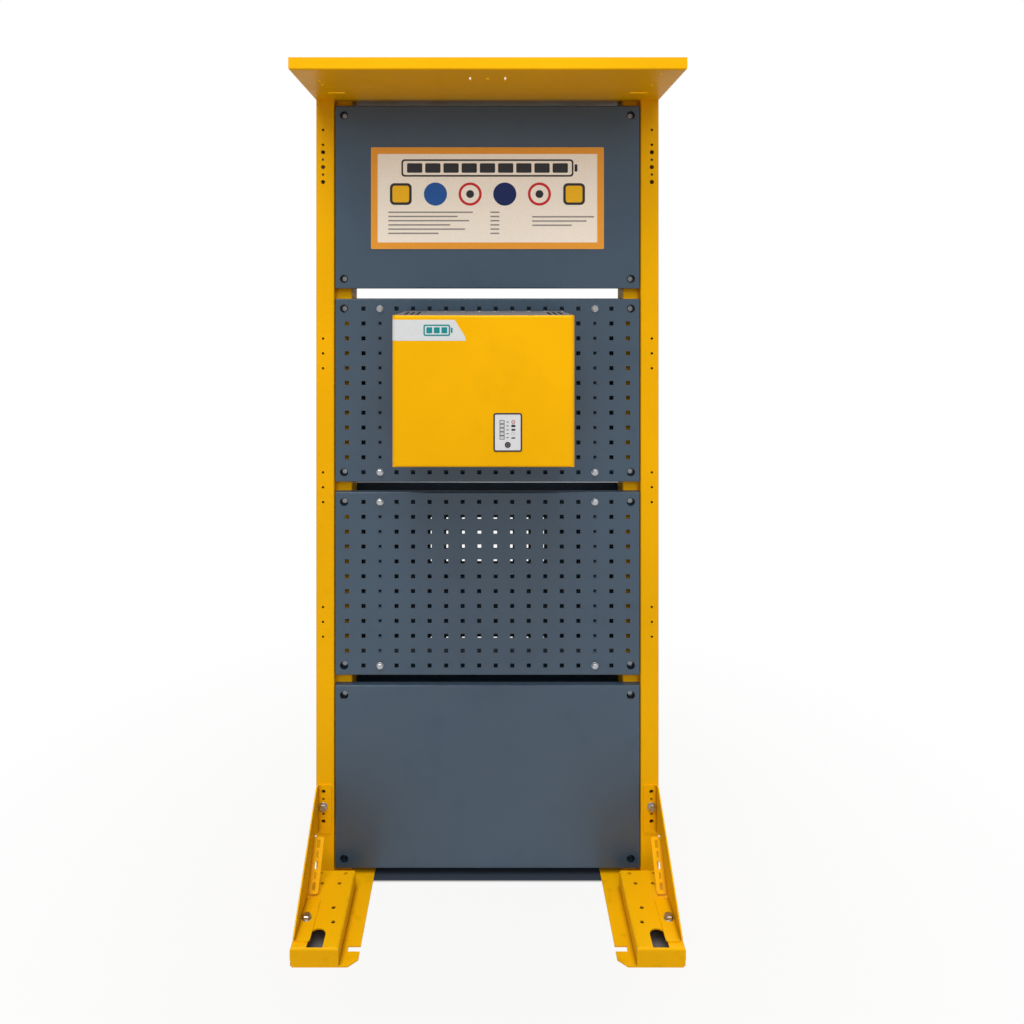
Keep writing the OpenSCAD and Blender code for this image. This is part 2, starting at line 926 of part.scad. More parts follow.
module status_windows() {
    color("white")
        for (k = [-2:2])
            translate([disp_x - 12, ch_front - 0.5, disp_z + 5.5 + k * 8.2])
                rotate([90, 0, 0])
                    translate([0, 0, -face_t])
                        linear_extrude(face_t + 0.2)
                            square([8.6, 6.6], center = true);
}

// The button is kept in by the collar behind the face
module stop_button() {
    color("dimgray")
        translate([disp_x, ch_front, button_z])
            rotate([90, 0, 0]) {
                translate([0, 0, -face_t])
                    cylinder(d = button_d, h = face_t + 1.6);
                translate([0, 0, -face_t - 0.8])
                    cylinder(d = button_d + 3, h = 1.2);
                translate([0, 0, -face_t - 12 + 5 + switch_gap])
                    cylinder(d = 4, h = 12 - 5 - switch_gap);
            }
}

module button_switch() {
    color("black")
        block([disp_x - 4, board_y - 5, button_z - 4], [disp_x + 4, board_y, button_z + 4]);
}

module control_board() {
    color("darkgreen")
        block([disp_x - 34, board_y, disp_z - 46], [disp_x + 34, board_y + pcb, disp_z + 46]);
}

// Power stage

module power_board() {
    color("darkgreen")
        block([ch_x - 170, power_y, ch_z + 40], [ch_x + 170, power_y + pcb, ch_z + 290]);
}

// Pillars between the rear of the chassis and the power board
module board_pillars() {
    color("silver")
        for (x = [-1, 1], z = [55, 275])
            bar_y(ch_x + x * 158, ch_z + z, 8, power_y + pcb, in_y);
}

// Finned heat sink on the rear of the chassis, under the power board
module heat_sink() {
    color("lightgray")
        for (k = [0:18])
            if (k == 0)
                block([ch_x - 110, in_y - 8, ch_z + 80], [ch_x + 110, in_y, ch_z + 260]);
            else
                block([ch_x - 113 + k * 12, in_y - 42, ch_z + 80],
                    [ch_x - 110 + k * 12, in_y - 8 + eps, ch_z + 260]);
}

module transformer_core() {
    color("dimgray")
        difference() {
            block([ch_x - 130, power_y - 60, ch_z + 150], [ch_x - 30, power_y, ch_z + 240]);
            for (x = [-116, -70])
                block([ch_x + x, power_y - 61, ch_z + 164], [ch_x + x + 26, power_y + 1, ch_z + 226]);
        }
}

// Winding round the middle leg of the core
module transformer_coil() {
    color("peru")
        difference() {
            block([ch_x - 116, power_y - 72, ch_z + 165], [ch_x - 44, power_y, ch_z + 225]);
            block([ch_x - 90, power_y - 60, ch_z + 160], [ch_x - 70, power_y + 1, ch_z + 230]);
        }
}

module capacitors() {
    color("midnightblue")
        for (x = [10, 55, 100, 145])
            bar_y(ch_x + x, ch_z + 255, 36, power_y - 55, power_y);
}

module contactor() {
    color("black")
        union() {
            block([ch_x + 0, power_y - 62, ch_z + 140], [ch_x + 75, power_y, ch_z + 215]);
            block([ch_x + 10, power_y - 70, ch_z + 150], [ch_x + 65, power_y - 60, ch_z + 205]);
        }
}

module terminal_block() {
    color("gray")
        block([ch_x + 40, power_y - 28, ch_z + 62], [ch_x + 165, power_y, ch_z + 92]);
}

// Two copper bars from the contactor down to the terminals
module busbars() {
    color("orange")
        for (x = [14, 48])
            union() {
                block([ch_x + x, power_y - 65, ch_z + 84], [ch_x + x + 14, power_y - 62, ch_z + 149]);
                block([ch_x + x, power_y - 65, ch_z + 84], [ch_x + x + 14, power_y - 28, ch_z + 88]);
                block([ch_x + x, power_y - 31, ch_z + 74], [ch_x + x + 14, power_y - 28, ch_z + 88]);
            }
}

// Fan

module fan_frame() {
    color("black")
        translate([fan_x, fan_y, in_z])
            difference() {
                linear_extrude(fan_h)
                    round_rect(fan_w, fan_w, 5);
                translate([0, 0, -1])
                    cylinder(r = fan_r, h = fan_h + 2);
                for (x = [-1, 1], y = [-1, 1])
                    translate([x * (fan_w / 2 - 5), y * (fan_w / 2 - 5), -1])
                        cylinder(d = 4.3, h = fan_h + 2);
            }
    // Motor seat on three arms
    color("black")
        translate([fan_x, fan_y, in_z + fan_h - 4])
            union() {
                cylinder(r = 18, h = 3.4);
                for (a = [90, 210, 330])
                    rotate(a)
                        translate([0, -2.5, 0.3])
                            cube([fan_r + 1.5, 5, 2.6]);
            }
}

module fan_rotor() {
    r = fan_r - fan_gap;
    color("dimgray")
        translate([fan_x, fan_y, in_z]) {
            translate([0, 0, 2])
                cylinder(r = 17, h = fan_h - 4 - 2 - 0.4);
            for (k = [0:6])
                rotate(k * 360 / 7)
                    intersection() {
                        translate([0, 0, 3])
                            cylinder(r = r, h = fan_h - 9);
                        translate([10, 0, 10.5])
                            rotate([38, 0, 0])
                                translate([0, -1, -20])
                                    cube([fan_w, 2, 40]);
                    }
        }
}

// Finger guard under the floor of the chassis
module fan_guard() {
    z = ch_z + charger_sheet + 0.5;
    color("silver")
        translate([fan_x, fan_y, z - 2])
            linear_extrude(2)
                union() {
                    for (r = [10:10:fan_r])
                        difference() {
                            circle(r + 1);
                            circle(r - 1);
                        }
                    for (a = [45, 135])
                        rotate(a)
                            square([2 * fan_r + 10, 3], center = true);
                }
}

// Cable glands in the floor of the chassis. No cables are fitted

// A gland with its lock nut. Its seat under the floor is at z = 0
module gland(thread, flats, bore) {
    w = charger_sheet;
    difference() {
        union() {
            translate([0, 0, -8])
                cylinder(d = flats / cos(30), h = 8, $fn = 6);
            translate([0, 0, -20])
                cylinder(d1 = thread * 0.86, d2 = flats * 0.98, h = 12 + eps);
            translate([0, 0, -eps])
                cylinder(d = thread, h = w + 11);
            translate([0, 0, w])
                cylinder(d = flats / cos(30), h = 6, $fn = 6);
        }
        translate([0, 0, -30])
            cylinder(d = bore, h = 60);
    }
}

module mains_gland() {
    color("black")
        translate([mains_x, gland_y, ch_z + charger_sheet + 0.5])
            gland(25, 30, mains_bore);
}

module lead_glands() {
    color("black")
        for (x = lead_x)
            translate([x, gland_y, ch_z + charger_sheet + 0.5])
                gland(32, 37, lead_bore);
}

upright_left();
upright_right();
foot_left();
foot_right();
gusset_front_left();
gusset_front_right();
gusset_rear_left();
gusset_rear_right();
gusset_bolts();
canopy();
canopy_lips();
canopy_bolts();
header_panel();
charger_panel();
perforated_panel();
lower_panel();
rear_header_panel();
rear_upper_panel();
rear_perforated_panel();
rear_lower_panel();
front_panel_bolts();
rear_panel_bolts();
stiffener_upper_left();
stiffener_upper_right();
stiffener_middle_left();
stiffener_middle_right();
stiffener_bolts();
sign_board();
charger_bars();
charger_bolts();
charger_chassis();
charger_cover();
cover_screws();
display_bezel();
display_face();
status_windows();
stop_button();
button_switch();
control_board();
power_board();
board_pillars();
heat_sink();
transformer_core();
transformer_coil();
capacitors();
contactor();
terminal_block();
busbars();
fan_frame();
fan_rotor();
fan_guard();
mains_gland();
lead_glands();
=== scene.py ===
"""Looks of the battery charging station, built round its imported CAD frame."""

import json
import math

import bmesh
import bpy
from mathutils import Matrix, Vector


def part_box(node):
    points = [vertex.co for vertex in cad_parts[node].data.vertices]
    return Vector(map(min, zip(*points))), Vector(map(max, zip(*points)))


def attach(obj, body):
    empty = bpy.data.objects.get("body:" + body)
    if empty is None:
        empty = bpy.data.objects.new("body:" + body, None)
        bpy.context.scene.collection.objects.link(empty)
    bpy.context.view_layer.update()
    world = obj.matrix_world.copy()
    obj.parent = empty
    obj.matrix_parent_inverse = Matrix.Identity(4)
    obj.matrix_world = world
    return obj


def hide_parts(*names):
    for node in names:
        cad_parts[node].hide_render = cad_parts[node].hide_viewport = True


bl_info = {
    "name": "Battery charging station",
    "version": (1, 0, 0),
    "blender": (4, 5, 0),
    "location": "View3D > Sidebar > Station",
    "description": "Finishes, prints, fasteners and stage of a battery charging station",
    "category": "Object",
}

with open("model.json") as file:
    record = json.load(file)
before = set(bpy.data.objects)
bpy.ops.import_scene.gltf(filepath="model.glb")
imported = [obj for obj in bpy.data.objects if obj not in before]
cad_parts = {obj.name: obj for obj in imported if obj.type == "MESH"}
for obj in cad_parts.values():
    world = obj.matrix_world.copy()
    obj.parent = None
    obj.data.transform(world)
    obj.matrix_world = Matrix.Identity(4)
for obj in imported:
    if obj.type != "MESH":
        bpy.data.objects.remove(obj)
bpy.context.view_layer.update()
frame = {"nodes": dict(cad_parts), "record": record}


# Sizes and colours


def size(name, description, default):
    """A length that a user may change."""
    return bpy.props.FloatProperty(
        name=name, description=description, default=default, min=0.0, unit="LENGTH", precision=5
    )


def tint(name, description, default):
    """A colour that a user may change."""
    return bpy.props.FloatVectorProperty(
        name=name, description=description, default=default, min=0.0, max=1.0, size=3, subtype="COLOR"
    )


class StationSizes(bpy.types.PropertyGroup):
    """Sizes of what is added to the CAD parts."""

    ink: size("Ink", "How far a printed shape stands off its surface", 0.00025)
    sign_border: size("Sign border", "Width of the coloured border of the sign", 0.016)
    gauge_length: size("Gauge length", "Length of the charge gauge at the top of the sign", 0.416)
    gauge_height: size("Gauge height", "Height of the charge gauge", 0.042)
    badge: size("Badge", "Width of a badge on the sign", 0.056)
    badge_pitch: size("Badge pitch", "Distance between two badges", 0.0838)
    corner_inset: size("Corner inset", "Distance of the corner bolts from the edge of a panel", 0.022)
    row_reach: size("Row reach", "Height of the outer bolts above the middle of a panel", 0.198)
    rail_reach: size("Rail reach", "Distance of the stiffener bolts from the middle of a panel", 0.260)
    panel_depth: size("Panel depth", "Depth of a panel", 0.020)
    panel_sheet: size("Panel sheet", "Sheet of a panel", 0.0015)
    washer: size("Washer", "Radius of a washer", 0.0085)
    washer_height: size("Washer height", "Thickness of a washer", 0.0016)
    head: size("Bolt head", "Radius of a bolt head at its corners", 0.00751)
    head_height: size("Bolt head height", "Height of a bolt head", 0.0053)
    gusset_bolt: bpy.props.FloatProperty(
        name="Gusset bolts",
        description="Head and washer of a gusset bolt against the others",
        default=1.26,
        min=1.0,
        max=1.4,
    )
    weld: size("Weld", "Half width of a weld bead", 0.0028)
    weld_pitch: size("Weld pitch", "Distance from drop to drop in a weld bead", 0.0019)
    camera_distance: size("Camera distance", "Distance of the camera from the front of the panels", 2.0)
    camera_height: size("Camera height", "Height of the camera above the floor", 1.419)


class StationColours(bpy.types.PropertyGroup):
    """Colours of the finishes."""

    yellow: tint("Yellow", "Powder coat of the rack and the charger's cover", (0.90, 0.452, 0.001))
    # Dirt and painted shade: the yellow coat darkens to this colour in its holes, slots and inner
    # corners.
    dirt_and_shade: tint("Dirt and shade", "Yellow powder coat in holes and corners", (0.20, 0.036, 0.004))
    slate: tint("Slate", "Powder coat of the panels", (0.030, 0.064, 0.106))
    zinc: tint("Zinc", "Plated bolts", (0.52, 0.53, 0.55))
    # Painted shade: a darker copy of the zinc for the bolts set back in the corner holes of the panels.
    dark_zinc: tint("Dark zinc", "Bolts in the corners of the panels", (0.30, 0.31, 0.33))
    chassis: tint("Chassis", "Paint of the charger's chassis", (0.215, 0.212, 0.218))
    cream: tint("Cream", "Field of the sign", (0.98, 0.885, 0.765))
    orange: tint("Orange", "Border of the sign", (0.88, 0.36, 0.040))
    ink: tint("Ink", "Dark print", (0.032, 0.032, 0.036))
    line: tint("Line", "Grey print", (0.30, 0.28, 0.26))
    dim: tint("Dim", "Frames of the status windows", (0.13, 0.13, 0.14))
    signal: tint("Signal", "Ring on the display", (0.45, 0.12, 0.14))
    amber: tint("Amber", "Yellow badges", (0.93, 0.50, 0.012))
    blue: tint("Blue", "Blue badges", (0.02, 0.10, 0.36))
    navy: tint("Navy", "Dark blue badges", (0.010, 0.022, 0.11))
    red: tint("Red", "Red badges", (0.62, 0.025, 0.03))
    teal: tint("Teal", "Glyph on the label", (0.01, 0.24, 0.25))
    label: tint("Label", "Label on the charger's cover", (0.66, 0.69, 0.70))
    face: tint("Face", "Face of the display", (0.70, 0.70, 0.73))
    black: tint("Black", "Moulded black plastic", (0.018, 0.018, 0.020))
    floor: tint("Floor", "Floor of the stage", (0.46, 0.41, 0.36))
    # Painted shadow on the floor under the lowest panels and in the hollows of the feet.
    floor_shade: tint("Floor shade", "Floor under the lowest panels", (0.030, 0.043, 0.064))


def sizes():
    return bpy.context.scene.station_sizes


def colours():
    return bpy.context.scene.station_colours


# Shader building


class Val:
    """A value on a surface. Sums and products of it add Math nodes."""

    def __init__(self, finish, socket):
        self.finish = finish
        self.socket = socket

    def _math(self, operation, a, b):
        return self.finish.node("ShaderNodeMath", {"operation": operation}, {0: a, 1: b})

    def __add__(self, other):
        return self._math("ADD", self, other)

    __radd__ = __add__

    def __sub__(self, other):
        return self._math("SUBTRACT", self, other)

    def __rsub__(self, other):
        return self._math("SUBTRACT", other, self)

    def __mul__(self, other):
        return self._math("MULTIPLY", self, other)

    __rmul__ = __mul__

    def __gt__(self, other):
        return self._math("GREATER_THAN", self, other)

    def __lt__(self, other):
        return self._math("LESS_THAN", self, other)


class Shader:
    """A shader tree that starts empty."""

    def __init__(self, tree):
        self.tree = tree
        tree.nodes.clear()

    def node(self, kind, settings=None, sockets=None, out=0):
        """Adds a node of a kind, sets it, feeds its sockets, and gives back one of its outputs."""
        made = self.tree.nodes.new(kind)
        for key, value in (settings or {}).items():
            setattr(made, key, value)
        for key, value in (sockets or {}).items():
            self.feed(made.inputs[key], value)
        return Val(self, made.outputs[out])

    def feed(self, socket, value):
        """Links a value to a socket, or sets the socket to a constant."""
        if isinstance(value, Val):
            self.tree.links.new(value.socket, socket)
        elif socket.type == "RGBA":
            socket.default_value = (*value[:3], 1.0)
        else:
            socket.default_value = value


class Finish(Shader):
    """One procedural material with a Principled surface."""

    def __init__(self, name):
        self.material = bpy.data.materials.new(name)
        self.material.use_nodes = True
        super().__init__(self.material.node_tree)
        self.end = self.tree.nodes.new("ShaderNodeOutputMaterial")
        self.surface = self.tree.nodes.new("ShaderNodeBsdfPrincipled")
        self.tree.links.new(self.surface.outputs[0], self.end.inputs[0])
        self.place = self.node("ShaderNodeTexCoord", out="Object")

    def set(self, **values):
        """Feeds the Principled surface by its socket names."""
        for key, value in values.items():
            self.feed(self.surface.inputs[key.replace("_", " ")], value)
        return self

    def noise(self, scale, detail=2.0, roughness=0.5):
        return self.node(
            "ShaderNodeTexNoise",
            sockets={"Vector": self.place, "Scale": scale, "Detail": detail, "Roughness": roughness},
        )

    def mix(self, factor, a, b):
        """One colour, and another where the factor is 1."""
        return self.node("ShaderNodeMix", {"data_type": "RGBA"}, {0: factor, 6: a, 7: b}, out=2)

    def ramp(self, value, low, high):
        """A value stretched so that low becomes 0 and high becomes 1."""
        limits = {"From Min": low, "From Max": high, "To Min": 0.0, "To Max": 1.0}
        return self.node("ShaderNodeMapRange", {"clamp": True}, {"Value": value, **limits})

    def bump(self, height, strength, distance):
        return self.node(
            "ShaderNodeBump", sockets={"Strength": strength, "Distance": distance, "Height": height}
        )

    def crevice(self, reach):
        """0 on open faces, towards 1 in holes, slots and inner corners, where shade is painted together
        with dirt.
        """
        settings = {"samples": 6, "only_local": True}
        open_share = self.node("ShaderNodeAmbientOcclusion", settings, {"Distance": reach}, out="AO")
        return self.ramp(1.0 - open_share, low=0.16, high=0.66)

    def height(self):
        """Height above the floor."""
        return self.node("ShaderNodeSeparateXYZ", sockets={0: self.place}, out=2)


# Shares and reaches of the marks on powder coat
MARK_SHARE = 0.16
# Reach and share of the darkening in holes and corners, which is dirt and painted shade.
DIRT_AND_SHADE_REACH = 0.015
DIRT_AND_SHADE_SHARE = 0.85
SCUFF_HEIGHT = 0.045

# Colours of what is inside the charger, and of its seals and windows
SOLDER_MASK = (0.010, 0.105, 0.045)
TRACKS = (0.030, 0.190, 0.080)
RUBBER = (0.012, 0.012, 0.013)
GREY_PLASTIC = (0.30, 0.31, 0.32)
WINDOW = (0.58, 0.60, 0.62)
ALUMINIUM = (0.78, 0.79, 0.80)
FERRITE = (0.055, 0.055, 0.060)
COPPER = (0.82, 0.40, 0.22)
SLEEVE = (0.02, 0.035, 0.13)


def shade(colour, factor):
    """A colour made lighter or darker."""
    return tuple(min(1.0, c * factor) for c in colour)


def powder_coat(name, colour, dirt_and_shade, rough, shine, scuffs=0.0):
    """Powder coat: fine orange peel, broad change of tone, handling marks, dirt and painted shade in
    the holes and corners, and scuffs near the floor."""
    f = Finish(name)
    broad = f.noise(scale=2.6, detail=3.0)
    smear = f.noise(scale=11.0, detail=5.0, roughness=0.6)
    peel = f.noise(scale=620.0, detail=2.0, roughness=0.45)
    tone = f.mix(f.ramp(broad, low=0.32, high=0.68), shade(colour, 0.93), shade(colour, 1.05))
    marks = f.ramp(smear, low=0.56, high=0.74)
    tone = f.mix(marks * MARK_SHARE, tone, shade(colour, 0.72))
    # Painted shade with dirt: darker where ambient occlusion finds holes, slots and inner corners.
    tone = f.mix(f.crevice(DIRT_AND_SHADE_REACH) * DIRT_AND_SHADE_SHARE, tone, dirt_and_shade)
    if scuffs:
        rub = f.noise(scale=34.0, detail=6.0, roughness=0.66)
        near_floor = 1.0 - f.ramp(f.height(), low=0.0, high=SCUFF_HEIGHT)
        worn = f.ramp(rub, low=0.54, high=0.72) * near_floor * scuffs
        tone = f.mix(worn, tone, shade(colour, 0.45))
    f.set(Base_Color=tone, Roughness=rough + (smear - 0.5) * 0.16 + marks * 0.05)
    f.set(Normal=f.bump(peel, strength=0.16, distance=0.0004), Specular_IOR_Level=shine)
    return f.material


def plated(name, colour, rough):
    """Zinc plating: a faint mottling and fine turning marks."""
    f = Finish(name)
    cloud = f.noise(scale=240.0, detail=3.0)
    grain = f.noise(scale=2600.0, detail=2.0)
    tone = f.mix(f.ramp(cloud, low=0.35, high=0.65), shade(colour, 0.86), shade(colour, 1.05))
    f.set(Base_Color=tone, Metallic=1.0, Roughness=rough + (cloud - 0.5) * 0.2)
    f.set(Normal=f.bump(grain, strength=0.08, distance=0.0001))
    return f.material


def moulded(name, colour, rough=0.45, texture=1400.0):
    """Moulded plastic with a fine spark texture."""
    f = Finish(name)
    skin = f.noise(scale=texture, detail=2.0)
    cloud = f.noise(scale=40.0, detail=3.0)
    tone = f.mix(f.ramp(cloud, low=0.3, high=0.7), shade(colour, 0.9), shade(colour, 1.12))
    f.set(Base_Color=tone, Roughness=rough + (cloud - 0.5) * 0.12)
    f.set(Normal=f.bump(skin, strength=0.12, distance=0.0002))
    return f.material


def printed(name, colour, rough=0.38):
    """Printed film: an even ink with a slight mottle."""
    f = Finish(name)
    mottle = f.noise(scale=300.0, detail=3.0)
    tone = f.mix(f.ramp(mottle, low=0.35, high=0.65), shade(colour, 0.965), shade(colour, 1.02))
    f.set(Base_Color=tone, Roughness=rough + (mottle - 0.5) * 0.06, Specular_IOR_Level=0.25)
    return f.material


def bare_metal(name, colour, rough, across):
    """Bare metal with fine lines along one direction."""
    f = Finish(name)
    scaled = f.node("ShaderNodeMapping", sockets={"Vector": f.place, "Scale": across})
    lines = f.node("ShaderNodeTexNoise", sockets={"Vector": scaled, "Scale": 60.0, "Detail": 4.0})
    tone = f.mix(f.ramp(lines, low=0.35, high=0.65), shade(colour, 0.85), shade(colour, 1.05))
    f.set(Base_Color=tone, Metallic=1.0, Roughness=rough + (lines - 0.5) * 0.2)
    f.set(Normal=f.bump(lines, strength=0.1, distance=0.0001))
    return f.material


def circuit_board(name):
    """Solder mask over faint tracks."""
    f = Finish(name)
    upright = {"Vector": f.place, "Rotation": (math.pi / 2, 0.0, 0.0)}
    tracks = f.node(
        "ShaderNodeTexBrick",
        {"offset": 0.5},
        {"Vector": f.node("ShaderNodeMapping", sockets=upright), "Scale": 90.0, "Mortar Size": 0.035},
        out="Fac",
    )
    tone = f.mix(tracks, SOLDER_MASK, TRACKS)
    f.set(Base_Color=tone, Roughness=0.32 + tracks * 0.12)
    return f.material


INKS = ("orange", "ink", "line", "dim", "amber", "blue", "navy", "red", "signal", "teal", "label")


def finishes():
    """Every finish by name. They are made once."""
    made = finishes.made
    if made:
        return made
    c = colours()
    # Darker copies of slate and grey for dirt and painted shade in their holes and corners.
    slate_dirt_and_shade, chassis_dirt_and_shade = shade(c.slate, 0.45), shade(c.chassis, 0.45)
    made["yellow"] = powder_coat("yellow_powder_coat", c.yellow, c.dirt_and_shade, rough=0.40, shine=0.08)
    made["foot_yellow"] = powder_coat(
        "yellow_powder_coat_scuffed", c.yellow, c.dirt_and_shade, rough=0.42, shine=0.08, scuffs=0.35
    )
    made["slate"] = powder_coat("slate_powder_coat", c.slate, slate_dirt_and_shade, rough=0.47, shine=0.84)
    made["chassis"] = powder_coat("grey_paint", c.chassis, chassis_dirt_and_shade, rough=0.44, shine=0.30)
    made["zinc"] = plated("zinc_plating", c.zinc, rough=0.34)
    # The darker zinc paints the shade of the corner recesses on their bolts.
    made["dark_zinc"] = plated("dark_zinc_plating", c.dark_zinc, rough=0.38)
    made["cream"] = printed("cream_board", c.cream, rough=0.42)
    made["black"] = moulded("black_plastic", c.black)
    made["button"] = moulded("button_plastic", shade(c.black, 1.3), rough=0.40)
    made["rubber"] = moulded("seal_rubber", RUBBER, rough=0.72, texture=700.0)
    made["grey_plastic"] = moulded("grey_plastic", GREY_PLASTIC)
    made["face"] = printed("display_film", c.face, rough=0.30)
    made["window"] = printed("window_lens", WINDOW, rough=0.12)
    made["board"] = circuit_board("circuit_board")
    made["aluminium"] = bare_metal(
        "extruded_aluminium", ALUMINIUM, rough=0.34, across=(12.0, 12.0, 0.6)
    )
    made["ferrite"] = moulded("ferrite", FERRITE, rough=0.6, texture=900.0)
    made["copper"] = bare_metal("copper", COPPER, rough=0.28, across=(1.0, 1.0, 18.0))
    made["sleeve"] = moulded("capacitor_sleeve", SLEEVE, rough=0.24, texture=500.0)
    for key in INKS:
        made[key] = printed("print_" + key, getattr(c, key))
    return made


finishes.made = {}

SLOT_FINISH = {
    "yellow_paint": "yellow",
    "slate_paint": "slate",
    "zinc": "zinc",
    "sign_cream": "cream",
    "grey_paint": "chassis",
    "black_plastic": "black",
    "face_grey": "face",
    "window_white": "window",
    "button_grey": "button",
    "green_board": "board",
    "bare_aluminium": "aluminium",
    "ferrite": "ferrite",
    "copper": "copper",
    "capacitor_sleeve": "sleeve",
    "terminal_grey": "grey_plastic",
}


# Mesh building


def add_prism(bm, outline, y_front, y_back, slot=0):
    """A closed flat piece in the XZ plane. The outline runs anticlockwise as seen from the front."""
    front = [bm.verts.new((x, y_front, z)) for x, z in outline]
    back = [bm.verts.new((x, y_back, z)) for x, z in outline]
    faces = [bm.faces.new(front), bm.faces.new(back[::-1])]
    count = len(outline)
    for i in range(count):
        j = (i + 1) % count
        faces.append(bm.faces.new((front[j], front[i], back[i], back[j])))
    for face in faces:
        face.material_index = slot


def add_frame(bm, loops, slot=0):
    """A closed frame. Its section runs through outlines with the same number of points,
    each at its own depth."""
    rings = [[bm.verts.new((x, y, z)) for x, z in outline] for outline, y in loops]
    for near, far in zip(rings, rings[1:] + rings[:1]):
        for i in range(len(near)):
            j = (i + 1) % len(near)
            bm.faces.new((near[i], near[j], far[j], far[i])).material_index = slot


def add_ring(bm, outer, inner, y_front, y_back, slot=0):
    """A flat closed frame between two outlines with the same number of points."""
    add_frame(bm, ((outer, y_front), (inner, y_front), (inner, y_back), (outer, y_back)), slot)


def rounded(cx, cz, w, h, r, steps=6):
    """A rectangle outline with round corners, anticlockwise from the front."""
    r = min(r, w / 2, h / 2)
    points = []
    for sx, sz, start in ((1, -1, -90), (1, 1, 0), (-1, 1, 90), (-1, -1, 180)):
        for k in range(steps + 1):
            a = math.radians(start + 90.0 * k / steps)
            x = cx + sx * (w / 2 - r) + r * math.cos(a)
            z = cz + sz * (h / 2 - r) + r * math.sin(a)
            points.append((x, z))
    return points


def circle(cx, cz, r, count=40):
    """A circle outline, anticlockwise from the front."""
    turns = [2 * math.pi * k / count for k in range(count)]
    return [(cx + r * math.cos(a), cz + r * math.sin(a)) for a in turns]


HALF_FLAT = math.pi / 6
FLUTES = 18
FLUTE_DEPTH = 0.05

# Radius of a turned piece at an angle, against its radius at the corners
FORMS = {
    "round": lambda a: 1.0,
    "hexagon": lambda a: math.cos(HALF_FLAT) / math.cos((a + HALF_FLAT) % (2 * HALF_FLAT) - HALF_FLAT),
    "fluted": lambda a: 1.0 - FLUTE_DEPTH * max(0.0, math.cos(FLUTES * a)),
}


def add_turned(bm, profile, at, axis, count=48, slot=0):
    """A closed piece turned round an axis. The profile lists radius, height and form, and closes on
    itself unless it starts and ends on the axis. A fourth entry gives a point's own slot."""
    turn = Vector(axis).to_track_quat("Z", "X")
    rings = []
    for radius, height, form, *own in profile:
        points = []
        for k in range(count if radius else 1):
            a = 2 * math.pi * k / count
            r = radius * FORMS[form](a)
            spot = Vector((r * math.cos(a), r * math.sin(a), height))
            points.append(bm.verts.new(Vector(at) + turn @ spot))
        rings.append((points, own[0] if own else slot))
    following = rings[1:] if len(rings[0][0]) == 1 else rings[1:] + rings[:1]
    for (low, own), (high, _) in zip(rings, following):
        for k in range(count):
            j = (k + 1) % count
            if len(low) == 1:
                corners = (low[0], high[j], high[k])
            elif len(high) == 1:
                corners = (low[k], low[j], high[0])
            else:
                corners = (low[k], low[j], high[j], high[k])
            bm.faces.new(corners).material_index = own


WIRE_SIDES = 8


def wire_ring(radius, wire):
    """The profile of a ring of round wire."""
    turns = [2 * math.pi * k / WIRE_SIDES for k in range(WIRE_SIDES)]
    return [(radius + wire * math.cos(a), wire * math.sin(a), "round") for a in turns]


def screw_profile(shank, length, head, height, socket):
    """The profile of a domed screw with a hexagon socket. Its seat is at height 0."""
    return [
        (0.0, -length, "round"),
        (shank, -length, "round"),
        (shank, 0.0, "round"),
        (head, 0.0, "round"),
        (head, 0.20 * height, "round"),
        (0.92 * head, 0.58 * height, "round"),
        (0.72 * head, 0.88 * height, "round"),
        (0.53 * head, height, "round"),
        (socket, height, "hexagon"),
        (socket, 0.38 * height, "hexagon"),
        (0.0, 0.38 * height, "round"),
    ]


def gland_profile(thread, flats, bore, sheet):
    """The profile of a cable gland with a fluted cap, a rubber seal and a lock nut.
    Its seat is at height 0."""
    corner = flats / 2 / math.cos(HALF_FLAT)
    tip = sheet + 0.011
    return [
        (bore / 2, -0.0190, "round", 1),
        (bore / 2 + 0.0020, -0.0198, "round", 1),
        (0.42 * thread, -0.0192, "round"),
        (0.43 * thread, -0.0200, "round"),
        (0.47 * thread, -0.0197, "round"),
        (0.445 * flats, -0.0178, "round"),
        (0.475 * flats, -0.0152, "round"),
        (0.488 * flats, -0.0142, "fluted"),
        (0.490 * flats, -0.0092, "fluted"),
        (0.470 * flats, -0.0086, "round"),
        (0.470 * flats, -0.0080, "round"),
        (0.495 * flats, -0.0080, "round"),
        (corner, -0.0070, "hexagon"),
        (corner, -0.0010, "hexagon"),
        (0.495 * flats, 0.0, "round"),
        (thread / 2, 0.0, "round"),
        (thread / 2, sheet, "round"),
        (0.495 * flats, sheet, "round"),
        (corner, sheet + 0.0008, "hexagon"),
        (corner, sheet + 0.0052, "hexagon"),
        (0.495 * flats, sheet + 0.0060, "round"),
        (thread / 2, sheet + 0.0060, "round"),
        (thread / 2, tip - 0.0005, "round"),
        (thread / 2 - 0.0005, tip, "round"),
        (bore / 2, tip, "round"),
    ]


def finish_mesh(name, bm, keys, body):
    """Makes a piece of a mesh, gives it its finishes and lets it ride on a body."""
    bmesh.ops.remove_doubles(bm, verts=bm.verts, dist=1e-7)
    bmesh.ops.recalc_face_normals(bm, faces=bm.faces)
    mesh = bpy.data.meshes.new(name)
    bm.to_mesh(mesh)
    bm.free()
    for key in keys:
        mesh.materials.append(finishes()[key])
    piece = bpy.data.objects.new(name, mesh)
    bpy.context.scene.collection.objects.link(piece)
    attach(piece, body)
    return piece


